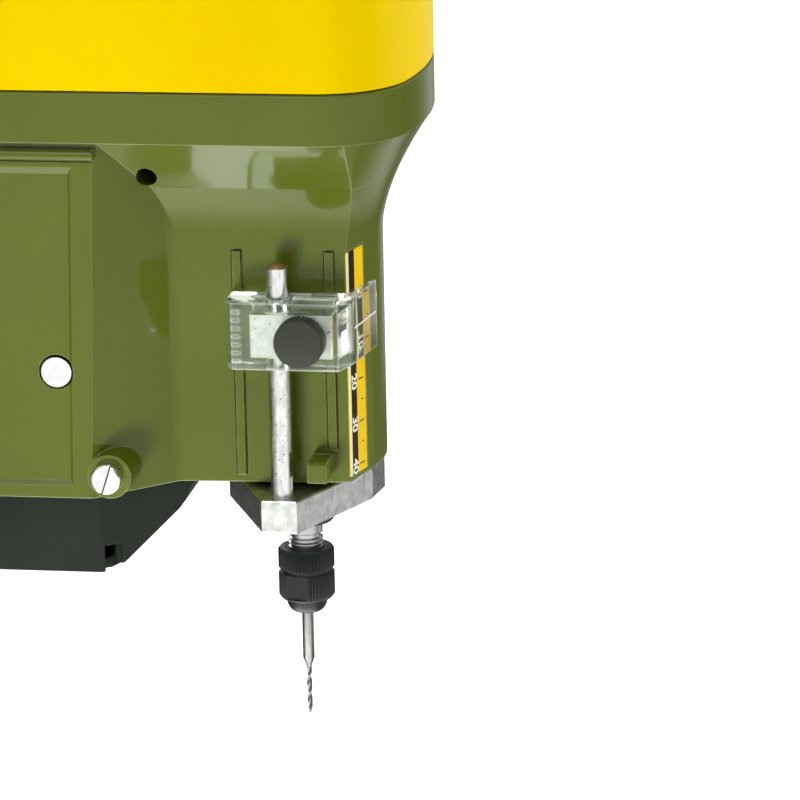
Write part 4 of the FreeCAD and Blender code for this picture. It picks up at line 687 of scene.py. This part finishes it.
def whitePaper(name, s):
    # plain white to the camera and through clear parts, still taking the object's shadow;
    # shiny parts mirror it bright near the machine and on its left, and dim elsewhere
    material = bpy.data.materials.new(name)
    material.use_nodes = True
    tree = material.node_tree
    tree.nodes.clear()
    place = addNode(tree, "TexCoord").outputs["Object"]
    reach = addNode(tree, "VectorMath", {"operation": "LENGTH"}, {0: place}).outputs["Value"]
    ahead = addNode(tree, "VectorMath", {"operation": "SCALE", "Scale": -1.0}, {0: place})
    axes = addNode(tree, "SeparateXYZ", None, {0: ahead.outputs[0]})
    turn = addNode(tree, "Math", {"operation": "ARCTAN2"}, {0: axes.outputs["Y"], 1: axes.outputs["X"]})
    bearing = addNode(tree, "Math", {"operation": "DEGREES"}, {0: turn.outputs[0]}).outputs[0]
    length = addNode(tree, "LightPath").outputs["Ray Length"]
    far = addNode(tree, "MapRange", {"From Min": 0.1, "From Max": 0.21, "To Min": 0.15}, {"Value": length})
    close = addNode(tree, "MapRange", {"From Min": 0.5, "From Max": 0.2, "To Max": s["near"]}, {"Value": reach})
    near = addNode(tree, "Math", {"operation": "MULTIPLY"}, {0: close.outputs[0], 1: far.outputs[0]})  # not low down
    level = addNode(tree, "Math", {"operation": "MULTIPLY_ADD", 1: s["dim"], 2: s["dark"]},
                    {0: band(tree, bearing, *s["dimSpan"])})
    level = addNode(tree, "Math", {"operation": "MULTIPLY_ADD"},
                    {0: near.outputs[0], 1: band(tree, bearing, *s["nearSpan"]), 2: level.outputs[0]})
    for strength, low, high, soft, start, stop in s["windows"]:
        level = addNode(tree, "Math", {"operation": "MULTIPLY_ADD"},
                        {0: band(tree, reach, start + 0.07, stop + 0.07, 0.07, strength),
                         1: band(tree, bearing, low, high, soft), 2: level.outputs[0]})
    paper = addNode(tree, "BsdfDiffuse", {"Color": linear("#F4F4F4")})
    glow = addNode(tree, "Emission", {"Strength": s["white"]})
    seen = addNode(tree, "AddShader", None, {0: paper.outputs[0], 1: glow.outputs[0]})
    mirrored = addNode(tree, "Emission", None, {"Strength": level.outputs[0]})
    direct = addNode(tree, "MixShader", None, {0: seenBy(tree, ["Is Camera Ray", "Is Transmission Ray"]),
                                               1: paper.outputs[0], 2: seen.outputs[0]})
    last = addNode(tree, "MixShader", None, {0: seenBy(tree, ["Is Glossy Ray"]), 1: direct.outputs[0],
                                             2: mirrored.outputs[0]})
    addNode(tree, "OutputMaterial", None, {"Surface": last.outputs[0]})
    return material


def makeRoom(s):
    world = bpy.data.worlds.new("studio")
    scene.world = world
    world.use_nodes = True
    tree = world.node_tree
    tree.nodes.clear()
    height = addNode(tree, "SeparateXYZ", None, {0: addNode(tree, "TexCoord").outputs["Generated"]}).outputs["Z"]
    rise = addNode(tree, "MapRange", {"From Min": 0.28, "From Max": 0.62, "To Min": s["horizon"], "To Max": s["above"]},
                   {"Value": height})
    white = linear("#FFFFFF")
    soft = addNode(tree, "Background", {"Color": white, "Strength": s["ambient"]})
    mirrored = addNode(tree, "Background", {"Color": white}, {"Strength": rise.outputs[0]})
    plain = addNode(tree, "Background", {"Color": white, "Strength": 1.0})
    first = addNode(tree, "MixShader", None, {0: seenBy(tree, ["Is Glossy Ray"]), 1: soft.outputs[0],
                                              2: mirrored.outputs[0]})
    last = addNode(tree, "MixShader", None, {0: seenBy(tree, ["Is Camera Ray", "Is Transmission Ray"]),
                                             1: first.outputs[0], 2: plain.outputs[0]})
    addNode(tree, "OutputWorld", None, {"Surface": last.outputs[0]})


def makeLamp(name, place, size, power, aim):
    lamp = bpy.data.lights.new(name, "AREA")
    lamp.shape = "RECTANGLE"
    lamp.size, lamp.size_y = size
    lamp.energy = power
    holder = bpy.data.objects.new(name, lamp)
    holder.location = place
    holder.rotation_euler = (Vector(aim) - Vector(place)).to_track_quat("-Z", "Y").to_euler()
    holder.visible_camera = False
    scene.collection.objects.link(holder)
    return holder


def makeStudio(s):
    bm = bmesh.new()
    bmesh.ops.create_grid(bm, x_segments=2, y_segments=2, size=s["floor"] / 2)
    mesh = bpy.data.meshes.new("floor")
    bm.to_mesh(mesh)
    bm.free()
    mesh.materials.append(whitePaper("matt white paper", s))
    floor = bpy.data.objects.new("floor", mesh)
    scene.collection.objects.link(floor)
    makeRoom(s)
    for name, place, size, power, mirrored in s["lamps"]:
        makeLamp(name, place, (size, size), power, s["aim"]).visible_glossy = mirrored
    size, place, power = s["card"]  # lies over the table and only shows in what is shiny
    card = makeLamp("bounceCard", place, size, power, (place[0], place[1], 1))
    card.visible_diffuse = False


makeStudio(studio)
scene.view_settings.view_transform = "Standard"
print("studio lit")
